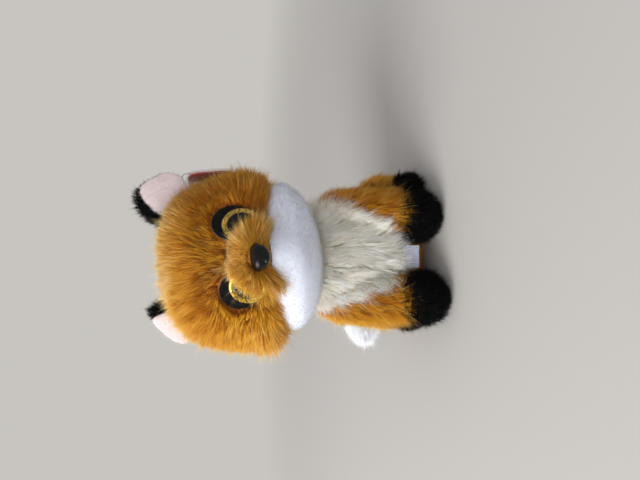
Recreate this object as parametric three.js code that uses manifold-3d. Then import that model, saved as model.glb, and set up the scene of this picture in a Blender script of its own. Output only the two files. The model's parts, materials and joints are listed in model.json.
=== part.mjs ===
// A sitting plush fox, about 15 cm tall: stuffed covers of short and long pile, safety eyes and nose,
// soft ears, legs and tail, a swing tag and a sewn-in label. Millimetres, +Z up, the fox faces -Y.
// The origin is on the flat seat under the torso.
import * as THREE from "three";
import { mergeVertices } from "three/addons/utils/BufferGeometryUtils.js";
import Module from "manifold-3d";

const wasm = await Module();
wasm.setup();

// General values
const gap = 0.3; // between pieces that touch
const pile = 3; // thickness of a fabric panel, backing and pile together
const sweepGap = 0.5; // kept clear of a piece all along its travel
const overrun = 1; // how far a cutter passes the face it cuts
const floorCut = 0.5; // how deep a form that stands on the floor is cut flat
const farAway = 300; // size of the blocks that cut a half space
const evenShares = [1, 1];

// Torso
const torsoWidth = 56;
const torsoDepth = 50;
const torsoHeight = 84;
const torsoBack = 3; // its middle, behind the origin
const torsoChestForward = 3; // the top leans this far ahead of the seat
const torsoWidthShares = [1.1, 1.1, 1.02, 0.95, 0.88];
const torsoDepthShares = [1.12, 1.08, 1, 0.94, 0.88];
const bibWidth = 48;
const bibTop = 74;
const bibTip = 21;
const bibLift = 1.5; // the bib's long pile stands this far proud of the cover
const bibFlareShare = 0.75; // how wide its lower edge bows, against its half width
const bibBowShare = 0.3; // and how high up that bow is
const bibSideShare = 0.35; // its straight sides, against its height
const pouchWidth = 40;
const pouchDepth = 36;
const pouchHeight = 22;

// Neck, where the head turns and tilts on a ball of filling
const neckForward = 3;
const neckHeight = 74;
const neckRadius = 11;
const headTilt = 6; // degrees that the head leans to its right at rest
const headTurn = 6; // degrees that the face turns to its left at rest
const headTiltTravel = [-12, 8];
const headTurnTravel = [-20, 15];

// Head
const headWidth = 88;
const headDepth = 68;
const headHeight = 66.5;
const headRise = 4; // its underside, above the neck pivot
const headForward = 7; // its middle, ahead of the neck pivot
const headWidthShares = [1.2, 1.14, 1.03, 0.98, 0.96, 0.95];
const headDepthShares = [1, 1.04, 1.02, 1, 0.98, 0.94];
const headSquareness = 2.25;
const headFullness = 2.55;

// Jowl, the white lobe of cheeks and chin, with a small lip under the nose
const jowlWidth = 72;
const jowlDepth = 52;
const jowlHeight = 34;
const jowlDrop = 8.5;
const jowlForward = 18;
const jowlWidthShares = [0.86, 0.98, 1.04, 1, 0.9];
const lipWidth = 28;
const lipDepth = 27;
const lipHeight = 25;
const lipForward = 36;
const lipRise = 1.5; // its underside, above the neck pivot

// Muzzle
const muzzleWidth = 33;
const muzzleTall = 22;
const muzzleLength = 36;
const muzzleForward = 37; // its middle, ahead of the neck pivot
const muzzleRise = 19; // its underside, above the neck pivot
const muzzleWidthShares = [0.94, 1, 1, 0.94];

// Nose
const noseWidth = 11.6;
const noseTall = 8.6;
const noseThick = 6;
const noseWidthShares = [0.55, 0.9, 1.06, 1.1];
const noseRise = 22.6; // its underside, above the neck pivot
const noseAcross = -1.2;
const noseSeat = 2.2; // how far it sinks into the pile
const noseStemRadius = 1.6;
const noseStemLength = 9;

// Eyes
const eyeRadius = 8.7;
const eyeBaseThick = 1.2;
const eyeDiscThick = 0.8;
const eyeDomeHeight = 3.4;
const eyeRingInner = 6.4;
const eyeStemRadius = 1.8;
const eyeStemLength = 9;
const eyeRise = 31.5;
const eyeYaw = 29; // degrees that it looks outwards
const eyePitch = 6; // degrees that it looks up
const eyeSeat = 1.8; // how deep it is seated in the face
const washerRadius = 5;
const washerThick = 1.2;
const panelFloor = 1.2; // cover left between an eye or a nose and its washer
const washerRoom = 6; // depth cleared behind the cover for a washer
const patchRadius = 9.7;
const patchThick = 0.9;
const patchOut = 3.2; // the patch's middle, outside the eye's
const patchUp = 3.6;
const eyes = {
  left: { side: 1, across: 13.8 },
  right: { side: -1, across: 11.3 },
};

// Ears
const earWidth = 27;
const earDepth = 8;
const earHeight = 26.5;
const earRoot = 5; // length below the hinge
const earLiningShare = 0.8; // the lining's outline against the ear's
const earLiningThick = 4;
const earBack = 1; // the hinge, behind the neck pivot
const earTravel = [-15, 15];
const ears = {
  left: {
    side: 1,
    across: 34.5,
    rise: 57.5,
    lean: 17,
    turn: 10,
    widthShares: [0.95, 1.12, 1.12, 1, 0.8, 0.62],
  },
  right: {
    side: -1,
    across: 26,
    rise: 57,
    lean: -24,
    turn: 34,
    widthShares: [1.1, 1.12, 0.95, 0.75, 0.56, 0.4],
  },
};

// Front legs
const legWidth = 24;
const legDepth = 26;
const shoulderAcross = 26;
const shoulderHeight = 52;
const shoulderForward = 8;
const legAbove = 11; // the leg's end, above the shoulder
const legTopBack = 3; // and behind it
const legFoot = 6.5; // where the leg's line starts, above the floor
const legMiddleShare = 0.5;
const legWidthShares = [1.1, 1.1, 1.05, 0.95, 0.9];
const pawAcross = 21.5;
const pawWidth = 28;
const pawDepth = 29;
const pawHeight = 26;
const pawWidthShares = [1.05, 1.06, 1, 0.9];
const cuffHeight = 21; // where the black pile starts, above the floor
const frontLegs = {
  left: { side: 1, pawForward: 21.5 },
  right: { side: -1, pawForward: 30 },
};
const legTravel = [-2, 14];

// Hind legs
const hipAcross = 22;
const hipBack = 12;
const hipHeight = 14;
const thighWidth = 29;
const thighDepth = 38;
const thighHeight = 34;
const thighAcross = 32;
const thighBack = 9;
const hindPawWidth = 20;
const hindPawLength = 30;
const hindPawHeight = 20;
const hindPawAcross = 35;
const hindPawForward = 3;
const hindToeOut = 20; // degrees
const hipTravel = [0, 18];
const hindLegs = {
  left: { side: 1, splay: 5, tuck: 0 },
  right: { side: -1, splay: 0, tuck: 3 },
};

// Tail
const tailWidth = 24;
const tailLength = 82;
const tailRootBack = 18;
const tailHeight = 13.5; // its middle, above the floor
const tailRise = 2; // its end, above its root
const tailBend = 131; // degrees that its line turns towards the fox's right
const tailTipShare = 0.62; // where the white tip starts along its length
const tailSwellShares = [0.6, 0.75, 0.92, 1.04, 1.08, 1, 0.85];
const tailTravel = [-22, 4];

// Swing tag, on a nylon loop at the left ear
const loopHeight = 7;
const loopWire = 0.5;
const loopBelowEar = 5.5; // its middle, below the left ear's hinge
const loopRise = ears.left.rise - loopBelowEar;
const loopBack = 8; // behind the neck pivot
const loopBite = 3; // how far it passes under the cover
const loopSquareness = 3;
const tagWidth = 20;
const tagHeight = 25;
const tagCorner = 7;
const tagThick = 0.8;
const tagHole = 1.4;
const tagHoleDrop = 3.5;
const tagFromEnd = 5; // the tag hangs this far inside the loop's outer end
const tagClear = 4; // its middle, outside the head where the head is widest beside it
const tagYaw = 16; // degrees that its front edge stands out
const sleeveWall = 0.5;
const sleeveBorder = 1.2;
const tagTravel = [-15, 25];

// Sewn-in label
const labelWidth = 12;
const labelLength = 9.5;
const labelThick = 0.8;
const labelTop = 20;
const labelTravel = [0, 30];

// How full a form's ends are: 2 is an ellipse, and more is squarer
const slimFullness = 2.2;
const softFullness = 2.4;
const plumpFullness = 2.6;
const firmFullness = 2.8;

// Steps around a form and rings along it
const fineSteps = { around: 18, along: 10 };
const plainSteps = { around: 14, along: 8 };
const smallSteps = { around: 12, along: 7 };
const hiddenShare = 0.65; // inside surfaces have fewer
const discSteps = 16;
const stemSteps = 8;
const domeSteps = 5;
const tailSteps = 6;
const outlineSteps = 6;

// Finishes
const finishes = {
  orange: { color: 0xb06a1c, roughness: 0.9 },
  gold: { color: 0xb98134, roughness: 0.9 },
  white: { color: 0xeceaf0, roughness: 0.85 },
  cream: { color: 0xe8e6d8, roughness: 0.85 },
  black: { color: 0x0a0a0c, roughness: 0.85 },
  felt: { color: 0x0c0b0c, roughness: 0.95 },
  pink: { color: 0xdcc9cf, roughness: 0.8 },
  gloss: { color: 0x060607, roughness: 0.18 },
  glitter: { color: 0xb8901c, roughness: 0.35, metalness: 0.6 },
  lens: { color: 0xe9e4e0, roughness: 0.05 },
  filling: { color: 0xf2f0ea, roughness: 0.95 },
  pellets: { color: 0xcfcabd, roughness: 0.6 },
  card: { color: 0xa02a22, roughness: 0.45 },
  nylon: { color: 0xe6e6e6, roughness: 0.3 },
  satin: { color: 0xe2e2e8, roughness: 0.5 },
};

// Frames: every body has a group at its pivot
const radians = THREE.MathUtils.degToRad;
const axisX = new THREE.Vector3(1, 0, 0);
const axisY = new THREE.Vector3(0, 1, 0);
const axisZ = new THREE.Vector3(0, 0, 1);

function frameAt(parent, x, y, z) {
  const frame = new THREE.Group();
  frame.position.set(x, y, z);
  parent.add(frame);
  return frame;
}

const fox = new THREE.Group();
const torso = frameAt(fox, 0, 0, 0);
const neck = frameAt(torso, 0, -neckForward, neckHeight);
neck.rotation.z = radians(headTurn);
const head = frameAt(neck, 0, 0, 0);
head.rotation.y = -radians(headTilt);

// Solids
function toSolid(geometry) {
  geometry.deleteAttribute("normal");
  geometry.deleteAttribute("uv");
  const merged = mergeVertices(geometry);
  const vertProperties = new Float32Array(merged.attributes.position.array);
  const triVerts = new Uint32Array(merged.index.array);
  return new wasm.Manifold(new wasm.Mesh({ numProp: 3, vertProperties, triVerts }));
}

function turned(solid, axis, degrees) {
  return solid.transform(new THREE.Matrix4().makeRotationAxis(axis, radians(degrees)).elements);
}

function shifted(solid, x, y, z) {
  return solid.transform(new THREE.Matrix4().makeTranslation(x, y, z).elements);
}

function inFrame(solid, from, to) {
  fox.updateMatrixWorld(true);
  const change = to.matrixWorld.clone().invert().multiply(from.matrixWorld);
  return solid.transform(change.elements);
}

function joined(...solids) {
  return solids.reduce((sum, solid) => sum.add(solid));
}

// The space that a solid passes through while it turns about an axis through its frame's origin
function swept(solid, axis, [from, to], steps = 4) {
  const copies = [];
  for (let step = 0; step <= steps; step++) {
    copies.push(turned(solid, axis, from + ((to - from) * step) / steps));
  }
  return joined(...copies);
}

// What a turning piece must leave free, seen from its own frame: its neighbour turned back
function seatOf(neighbour, axis, [from, to], steps = 4) {
  return swept(neighbour, axis, [-to, -from], steps);
}

// The half space on the far side of a plane through a point, along a direction
function halfSpace(point, direction) {
  const block = new THREE.BoxGeometry(farAway, farAway, farAway);
  block.translate(0, 0, farAway / 2);
  const turn = new THREE.Quaternion().setFromUnitVectors(axisZ, direction.clone().normalize());
  block.applyQuaternion(turn);
  block.translate(point.x, point.y, point.z);
  return toSolid(block);
}

function underFloor(frame) {
  const under = halfSpace(new THREE.Vector3(), axisZ.clone().negate());
  return inFrame(under, fox, frame);
}

// Stuffed forms: rings along a path, which swell and taper by shares between two round ends
function shareAt(shares, along) {
  const place = THREE.MathUtils.clamp(along, 0, 1) * (shares.length - 1);
  const low = Math.min(Math.floor(place), shares.length - 2);
  const smooth = THREE.MathUtils.smoothstep(place - low, 0, 1);
  return shares[low] + (shares[low + 1] - shares[low]) * smooth;
}

function roundEnd(along, fullness) {
  return (1 - Math.abs(2 * along - 1) ** fullness) ** (1 / fullness);
}

function superCircle(angle, squareness) {
  const power = 2 / squareness;
  const bulge = (value) => Math.sign(value) * Math.abs(value) ** power;
  return [bulge(Math.cos(angle)), bulge(Math.sin(angle))];
}

function closedRings(first, rings, last) {
  const points = [first, ...rings.flat(), last];
  const around = rings[0].length;
  const at = (ring, step) => 1 + ring * around + (step % around);
  const faces = [];
  for (let step = 0; step < around; step++) {
    faces.push(0, at(0, step + 1), at(0, step));
    for (let ring = 0; ring + 1 < rings.length; ring++) {
      faces.push(at(ring, step), at(ring, step + 1), at(ring + 1, step + 1));
      faces.push(at(ring, step), at(ring + 1, step + 1), at(ring + 1, step));
    }
    faces.push(points.length - 1, at(rings.length - 1, step), at(rings.length - 1, step + 1));
  }
  const geometry = new THREE.BufferGeometry().setFromPoints(points);
  geometry.setIndex(faces);
  return geometry;
}

// inset moves the whole surface inwards, and outwards where it is negative
function stuffed(form, inset = 0) {
  const { path, width, depth, widthShares = evenShares, depthShares = widthShares } = form;
  const { side = axisX, fullness = softFullness, squareness = 2, steps = plainSteps } = form;
  const fewer = inset > 0 ? hiddenShare : 1;
  const around = 2 * Math.round((steps.around * fewer) / 2);
  const along = Math.round(steps.along * fewer);
  const length = path.getLength();
  const rings = [];
  const start = path.getPointAt(0);
  const end = path.getPointAt(1);
  const first = start.clone().addScaledVector(path.getTangentAt(0), inset);
  const last = end.clone().addScaledVector(path.getTangentAt(1), -inset);
  for (let ring = 1; ring < along; ring++) {
    const share = (1 - Math.cos((Math.PI * ring) / along)) / 2;
    const place = (inset + share * (length - 2 * inset)) / length;
    const inside = THREE.MathUtils.clamp(place, 0, 1);
    const centre = path.getPointAt(inside);
    const tangent = path.getTangentAt(inside);
    centre.addScaledVector(tangent, (place - inside) * length);
    const through = new THREE.Vector3().crossVectors(tangent, side).normalize();
    const across = new THREE.Vector3().crossVectors(through, tangent).normalize();
    const swell = roundEnd(share, fullness);
    const halfWidth = (width / 2 - inset) * swell * shareAt(widthShares, share);
    const halfDepth = (depth / 2 - inset) * swell * shareAt(depthShares, share);
    const points = [];
    for (let step = 0; step < around; step++) {
      const [x, y] = superCircle((2 * Math.PI * step) / around, squareness);
      const point = centre.clone().addScaledVector(across, x * halfWidth);
      points.push(point.addScaledVector(through, y * halfDepth));
    }
    rings.push(points);
  }
  return toSolid(closedRings(first, rings, last));
}

function upright(x, y, bottom, height, leanForward = 0) {
  const low = new THREE.Vector3(x, y, bottom);
  const high = new THREE.Vector3(x, y - leanForward, bottom + height);
  return new THREE.LineCurve3(low, high);
}

// An upright form's middle and half sizes at a height
function levelOf(form, height) {
  const { path, width, depth, widthShares, depthShares = widthShares } = form;
  const { fullness = softFullness, squareness = 2 } = form;
  const share = THREE.MathUtils.clamp((height - path.getPointAt(0).z) / path.getLength(), 0, 1);
  const swell = roundEnd(share, fullness);
  const halfWidth = (width / 2) * swell * shareAt(widthShares, share);
  const halfDepth = (depth / 2) * swell * shareAt(depthShares, share);
  return { centre: path.getPointAt(share), halfWidth, halfDepth, squareness };
}

function bulgeAt(distance, half, squareness) {
  return (1 - Math.min(1, Math.abs(distance / half)) ** squareness) ** (1 / squareness);
}

// How far ahead an upright form's surface lies, at a place across it and up it
function surfaceForward(form, across, height) {
  const { centre, halfWidth, halfDepth, squareness } = levelOf(form, height);
  return -centre.y + halfDepth * bulgeAt(across - centre.x, halfWidth, squareness);
}

// How far out an upright form's surface lies, at a place behind the frame's origin and up it
function surfaceAcross(form, back, height) {
  const { centre, halfWidth, halfDepth, squareness } = levelOf(form, height);
  return centre.x + halfWidth * bulgeAt(back - centre.y, halfDepth, squareness);
}

function disc(radius, thickness, steps = discSteps) {
  const geometry = new THREE.CylinderGeometry(radius, radius, thickness, steps);
  geometry.rotateX(Math.PI / 2);
  geometry.translate(0, 0, thickness / 2);
  return toSolid(geometry);
}

function outlineSolid(shape, thickness) {
  const options = { depth: thickness, bevelEnabled: false, curveSegments: outlineSteps };
  return toSolid(new THREE.ExtrudeGeometry(shape, options));
}

// Turns a solid that is built up along +Z so that it faces ahead, looking outwards and up
function facing(solid, side, yaw, pitch) {
  const ahead = turned(solid, axisX, 90 - pitch);
  return turned(ahead, axisZ, side * yaw);
}

// A cut can leave slivers beside the piece, so only its largest body is kept
function largestBody(solid) {
  const bodies = solid.decompose();
  return bodies.reduce((best, body) => (body.volume() > best.volume() ? body : best));
}

function addPiece(name, solid, finish, frame) {
  const { vertProperties, numProp, triVerts } = largestBody(solid).getMesh();
  const geometry = new THREE.BufferGeometry();
  geometry.setAttribute("position", new THREE.Float32BufferAttribute(vertProperties, numProp));
  geometry.setIndex(new THREE.Uint32BufferAttribute(triVerts, 1));
  const material = new THREE.MeshStandardMaterial({ metalness: 0, ...finishes[finish] });
  const piece = new THREE.Mesh(geometry, material);
  piece.name = name;
  frame.add(piece);
}

// Forms of the head, in the head's frame
const headForm = {
  path: upright(0, -headForward, headRise, headHeight),
  width: headWidth,
  depth: headDepth,
  widthShares: headWidthShares,
  depthShares: headDepthShares,
  squareness: headSquareness,
  fullness: headFullness,
  steps: fineSteps,
};
const jowlForm = {
  path: upright(0, -jowlForward, -jowlDrop, jowlHeight),
  width: jowlWidth,
  depth: jowlDepth,
  widthShares: jowlWidthShares,
};
const lipForm = {
  path: upright(0, -lipForward, lipRise, lipHeight),
  width: lipWidth,
  depth: lipDepth,
  steps: smallSteps,
};
const muzzleForm = {
  path: upright(0, -muzzleForward, muzzleRise, muzzleTall),
  width: muzzleWidth,
  depth: muzzleLength,
  widthShares: muzzleWidthShares,
  depthShares: evenShares,
};

// Torso
const torsoForm = {
  path: upright(0, torsoBack, -floorCut, torsoHeight, torsoChestForward),
  width: torsoWidth,
  depth: torsoDepth,
  widthShares: torsoWidthShares,
  depthShares: torsoDepthShares,
  fullness: firmFullness,
  steps: fineSteps,
};

// The space that the head passes through, seen from the torso
function headSweep() {
  const margin = joined(stuffed(headForm, -sweepGap), stuffed(jowlForm, -sweepGap));
  const copies = [];
  for (const turn of [headTurnTravel[0], 0, headTurnTravel[1]]) {
    for (const tilt of [headTiltTravel[0], 0, headTiltTravel[1]]) {
      const tilted = turned(margin, axisY, tilt - headTilt);
      const placed = turned(tilted, axisZ, turn + headTurn);
      copies.push(shifted(placed, 0, -neckForward, neckHeight));
    }
  }
  return joined(...copies);
}

const headSpace = headSweep();
const neckBall = toSolid(new THREE.SphereGeometry(neckRadius, discSteps, discSteps / 2));
const neckSocket = toSolid(new THREE.SphereGeometry(neckRadius + sweepGap, discSteps, discSteps / 2));
const neckSocketInTorso = shifted(neckSocket, 0, -neckForward, neckHeight);

function bibOutline() {
  const half = bibWidth / 2;
  const tall = bibTop - bibTip;
  const shape = new THREE.Shape();
  shape.moveTo(0, bibTip);
  const bow = bibTip + tall * bibBowShare;
  const corner = bibTop - tall * bibSideShare;
  shape.quadraticCurveTo(half * bibFlareShare, bow, half, corner);
  shape.lineTo(half, bibTop);
  shape.lineTo(-half, bibTop);
  shape.lineTo(-half, corner);
  shape.quadraticCurveTo(-half * bibFlareShare, bow, 0, bibTip);
  return shape;
}

// The bib's outline carried through the chest, from the torso's middle forwards
function bibPrism() {
  return turned(outlineSolid(bibOutline(), torsoDepth), axisX, 90);
}

function buildTorso() {
  const outer = stuffed(torsoForm);
  const inner = stuffed(torsoForm, pile);
  const free = joined(headSpace, underFloor(torso));
  const prism = bibPrism();
  const prismPlace = shifted(prism, 0, torsoBack, 0);
  const recess = prismPlace.subtract(stuffed(torsoForm, bibLift + gap));
  const cover = outer.subtract(inner).subtract(free).subtract(neckSocketInTorso).subtract(recess);
  addPiece("torso_cover", cover, "orange", torso);

  const narrower = new THREE.Matrix4().makeScale((bibWidth - 2 * gap) / bibWidth, 1, 1);
  const bibPlace = prismPlace.transform(narrower.elements);
  const layer = stuffed(torsoForm, -bibLift).subtract(stuffed(torsoForm, bibLift));
  addPiece("chest_bib", bibPlace.intersect(layer).subtract(free), "cream", torso);

  const pouchForm = {
    path: upright(0, torsoBack, pile + gap, pouchHeight),
    width: pouchWidth,
    depth: pouchDepth,
    fullness: firmFullness,
    steps: smallSteps,
  };
  const room = stuffed(torsoForm, pile + gap);
  addPiece("pellet_pouch", stuffed(pouchForm).intersect(room), "pellets", torso);
  const pouchMiddle = new THREE.Vector3(0, 0, pile + gap + pouchHeight / 2);
  const stuffing = room
    .subtract(stuffed(pouchForm, -gap))
    .subtract(free)
    .subtract(neckSocketInTorso)
    .subtract(halfSpace(pouchMiddle, axisZ.clone().negate()));
  addPiece("torso_filling", stuffing, "filling", torso);
  addPiece("neck_filling", neckBall, "filling", neck);
}

// Eyes and nose: each a plate on a stem through the cover, held by a washer inside
function eyePlace(solid, { side, across }) {
  const ahead = surfaceForward(headForm, across, eyeRise);
  return shifted(facing(solid, side, eyeYaw, eyePitch), side * across, eyeSeat - ahead, eyeRise);
}

function nosePlace(solid) {
  const middle = noseRise + noseTall / 2;
  const ahead = surfaceForward(muzzleForm, noseAcross, middle);
  return shifted(facing(solid, 1, 0, 0), noseAcross, noseSeat - ahead, middle);
}

const cuts = { cover: [], filling: [], muzzle: [] };

function cutForLoop() {
  const room = loopSolid(loopWire + gap);
  cuts.cover.push(room);
  cuts.filling.push(room);
}

function buildEye(name, eye) {
  const stack = patchThick + gap;
  const eyeTall = stack + eyeBaseThick + gap + eyeDiscThick + gap + eyeDomeHeight + 2 * gap;
  const plate = shifted(disc(eyeRadius, eyeBaseThick), 0, 0, stack);
  const stemTall = eyeStemLength + stack + eyeBaseThick / 2;
  const stem = shifted(disc(eyeStemRadius, stemTall, stemSteps), 0, 0, -eyeStemLength);
  addPiece(`${name}_eye_base`, eyePlace(plate.add(stem), eye), "gloss", head);

  const discLevel = stack + eyeBaseThick + gap;
  const ring = disc(eyeRadius, eyeDiscThick).subtract(
    shifted(disc(eyeRingInner, eyeDiscThick + 2 * overrun), 0, 0, -overrun),
  );
  addPiece(`${name}_eye_iris`, eyePlace(shifted(ring, 0, 0, discLevel), eye), "glitter", head);
  const pupil = shifted(disc(eyeRingInner - gap, eyeDiscThick), 0, 0, discLevel);
  addPiece(`${name}_eye_pupil`, eyePlace(pupil, eye), "gloss", head);

  const domeRadius = (eyeRadius ** 2 + eyeDomeHeight ** 2) / (2 * eyeDomeHeight);
  const edge = Math.asin(eyeRadius / domeRadius);
  const profile = [new THREE.Vector2(0, 0)];
  for (let step = 0; step < domeSteps; step++) {
    const angle = edge * (1 - step / domeSteps);
    const height = domeRadius * Math.cos(angle) - domeRadius + eyeDomeHeight;
    profile.push(new THREE.Vector2(domeRadius * Math.sin(angle), height));
  }
  profile.push(new THREE.Vector2(0, eyeDomeHeight));
  const dome = new THREE.LatheGeometry(profile, discSteps);
  dome.rotateX(Math.PI / 2);
  const lens = shifted(toSolid(dome), 0, 0, discLevel + eyeDiscThick + gap);
  addPiece(`${name}_eye_lens`, eyePlace(lens, eye), "lens", head);

  const hole = disc(eyeStemRadius + gap, eyeStemLength + 2 * overrun, stemSteps);
  const stemHole = shifted(hole, 0, 0, -eyeStemLength - gap);
  const patchDisc = shifted(disc(patchRadius, patchThick), eye.side * patchOut, patchUp, 0);
  addPiece(`${name}_eye_patch`, eyePlace(patchDisc.subtract(stemHole), eye), "felt", head);

  const washerLevel = -gap - panelFloor - gap - washerThick;
  const washer = shifted(disc(washerRadius, washerThick), 0, 0, washerLevel).subtract(stemHole);
  addPiece(`${name}_eye_washer`, eyePlace(washer, eye), "nylon", head);

  const pocket = joined(
    shifted(disc(patchRadius + gap, eyeTall), eye.side * patchOut, patchUp, -gap),
    shifted(disc(eyeRadius + gap, eyeTall), 0, 0, -gap),
  );
  const backRoom = shifted(disc(washerRadius + gap, washerRoom), 0, 0, -gap - panelFloor - washerRoom);
  cuts.cover.push(eyePlace(joined(pocket, backRoom, stemHole), eye));
  cuts.filling.push(eyePlace(joined(pocket, backRoom, stemHole), eye));
  cuts.muzzle.push(eyePlace(pocket, eye));
}

function buildNose() {
  const noseForm = {
    path: upright(0, 0, 0, noseTall),
    width: noseWidth,
    depth: noseThick * 2,
    widthShares: noseWidthShares,
    depthShares: evenShares,
    fullness: plumpFullness,
    steps: fineSteps,
  };
  const nose = turned(shifted(stuffed(noseForm), 0, 0, -noseTall / 2), axisX, -90);
  const front = nose.subtract(halfSpace(new THREE.Vector3(), axisZ.clone().negate()));
  const stem = shifted(disc(noseStemRadius, noseStemLength + overrun, stemSteps), 0, 0, -noseStemLength);
  addPiece("nose", nosePlace(front.add(stem)), "gloss", head);

  const room = turned(shifted(stuffed(noseForm, -gap), 0, 0, -noseTall / 2), axisX, -90);
  const seat = room.subtract(halfSpace(new THREE.Vector3(0, 0, -gap), axisZ.clone().negate()));
  const hole = disc(noseStemRadius + gap, noseStemLength + overrun, stemSteps);
  const stemHole = shifted(hole, 0, 0, -noseStemLength - gap);
  const level = -gap - panelFloor - gap - washerThick;
  const washer = shifted(disc(washerRadius, washerThick), 0, 0, level).subtract(stemHole);
  addPiece("nose_washer", nosePlace(washer), "nylon", head);
  const backRoom = shifted(disc(washerRadius + gap, washerRoom), 0, 0, -gap - panelFloor - washerRoom);
  cuts.muzzle.push(nosePlace(joined(seat, stemHole, backRoom)));
  cuts.cover.push(nosePlace(joined(stemHole, backRoom)));
  cuts.filling.push(nosePlace(joined(stemHole, backRoom)));
}

function cutBy(solid, cutters) {
  return cutters.reduce((rest, cutter) => rest.subtract(cutter), solid);
}

// Head covers, one shell cut into its panels
function buildHead() {
  const headForms = [headForm, jowlForm, lipForm, muzzleForm];
  const whole = (inset) => joined(...headForms.map((form) => stuffed(form, inset)));
  const cavity = whole(pile);
  const headMargin = stuffed(headForm, -gap);
  const cover = cutBy(stuffed(headForm), [cavity, neckSocket, ...cuts.cover]);
  const seam = new THREE.Vector3(0, earBack + earDepth / 2, 0);
  const behindSeam = seam.clone().add(new THREE.Vector3(0, gap, 0));
  addPiece("face_cover", cover.subtract(halfSpace(seam, axisY)), "orange", head);
  const ahead = halfSpace(behindSeam, axisY.clone().negate());
  addPiece("back_of_head_cover", cover.subtract(ahead), "orange", head);

  const lobe = joined(stuffed(jowlForm), stuffed(lipForm));
  const jowl = cutBy(lobe, [headMargin, cavity, neckSocket, stuffed(muzzleForm, -gap), ...cuts.muzzle]);
  addPiece("jowl_panel", jowl, "white", head);
  const muzzle = cutBy(stuffed(muzzleForm), [headMargin, cavity, ...cuts.muzzle]);
  addPiece("muzzle_panel", muzzle, "gold", head);
  addPiece("head_filling", cutBy(whole(pile + gap), [neckSocket, ...cuts.filling]), "filling", head);
}

// Ears: a black pocket with a pink lining, sewn to the head along its root
function buildEar(name, { side, across, rise, lean, turn, widthShares }) {
  const frame = frameAt(head, side * across, earBack, rise);
  frame.rotation.order = "ZYX";
  frame.rotation.set(0, radians(side * lean), radians(side * turn));
  const earForm = {
    path: upright(0, 0, -earRoot, earHeight),
    width: earWidth,
    depth: earDepth,
    widthShares,
    depthShares: evenShares,
    fullness: slimFullness,
  };
  const liningForm = {
    ...earForm,
    path: upright(0, -earDepth / 2, -earRoot, earHeight - (earHeight * (1 - earLiningShare)) / 2),
    width: earWidth * earLiningShare,
    depth: earLiningThick,
    steps: smallSteps,
  };
  const headSeat = inFrame(stuffed(headForm, -gap), head, frame);
  const seat = seatOf(headSeat, axisX, earTravel);
  const ear = stuffed(earForm).subtract(stuffed(liningForm, -gap)).subtract(seat);
  addPiece(`${name}_ear`, ear, "black", frame);
  addPiece(`${name}_ear_lining`, stuffed(liningForm).subtract(seat), "pink", frame);
}

// Front legs: a sewn tube with a black paw, turning at the shoulder
function frontLegForms(side, pawForward) {
  const across = side * (pawAcross - shoulderAcross);
  const back = shoulderForward - pawForward;
  const paw = {
    path: upright(across, back, -shoulderHeight - floorCut, pawHeight),
    width: pawWidth,
    depth: pawDepth,
    widthShares: pawWidthShares,
    fullness: firmFullness,
  };
  const foot = new THREE.Vector3(across, back, legFoot - shoulderHeight);
  const shoulder = new THREE.Vector3(0, 0, 0);
  const top = new THREE.Vector3(0, legTopBack, legAbove);
  const middle = foot.clone().lerp(shoulder, legMiddleShare);
  const tube = {
    path: new THREE.CatmullRomCurve3([foot, middle, shoulder, top]),
    width: legWidth,
    depth: legDepth,
    widthShares: legWidthShares,
  };
  return (inset) => joined(stuffed(tube, inset), stuffed(paw, inset));
}

const frontLegParts = {};

function buildFrontLeg(name, { side, pawForward }) {
  const frame = frameAt(torso, side * shoulderAcross, -shoulderForward, shoulderHeight);
  const shape = frontLegForms(side, pawForward);
  const chest = inFrame(stuffed(torsoForm, -bibLift - sweepGap), torso, frame);
  const backwards = [-legTravel[1], -legTravel[0]];
  const torsoSeat = seatOf(chest, axisX, backwards, 2);
  const headSeat = seatOf(inFrame(headSpace, torso, frame), axisX, backwards, 2);
  const cuff = cuffHeight - shoulderHeight;
  const below = halfSpace(new THREE.Vector3(0, 0, cuff + gap / 2), axisZ.clone().negate());
  const above = halfSpace(new THREE.Vector3(0, 0, cuff - gap / 2), axisZ);
  const free = [torsoSeat, headSeat, underFloor(frame)];
  const shell = cutBy(shape(0), [shape(pile), ...free]);
  addPiece(`${name}_front_leg_cover`, shell.subtract(below), "orange", frame);
  addPiece(`${name}_front_paw_cover`, shell.subtract(above), "black", frame);
  addPiece(`${name}_front_leg_filling`, cutBy(shape(pile + gap), free), "filling", frame);
  frontLegParts[name] = { frame, shape };
}

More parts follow.
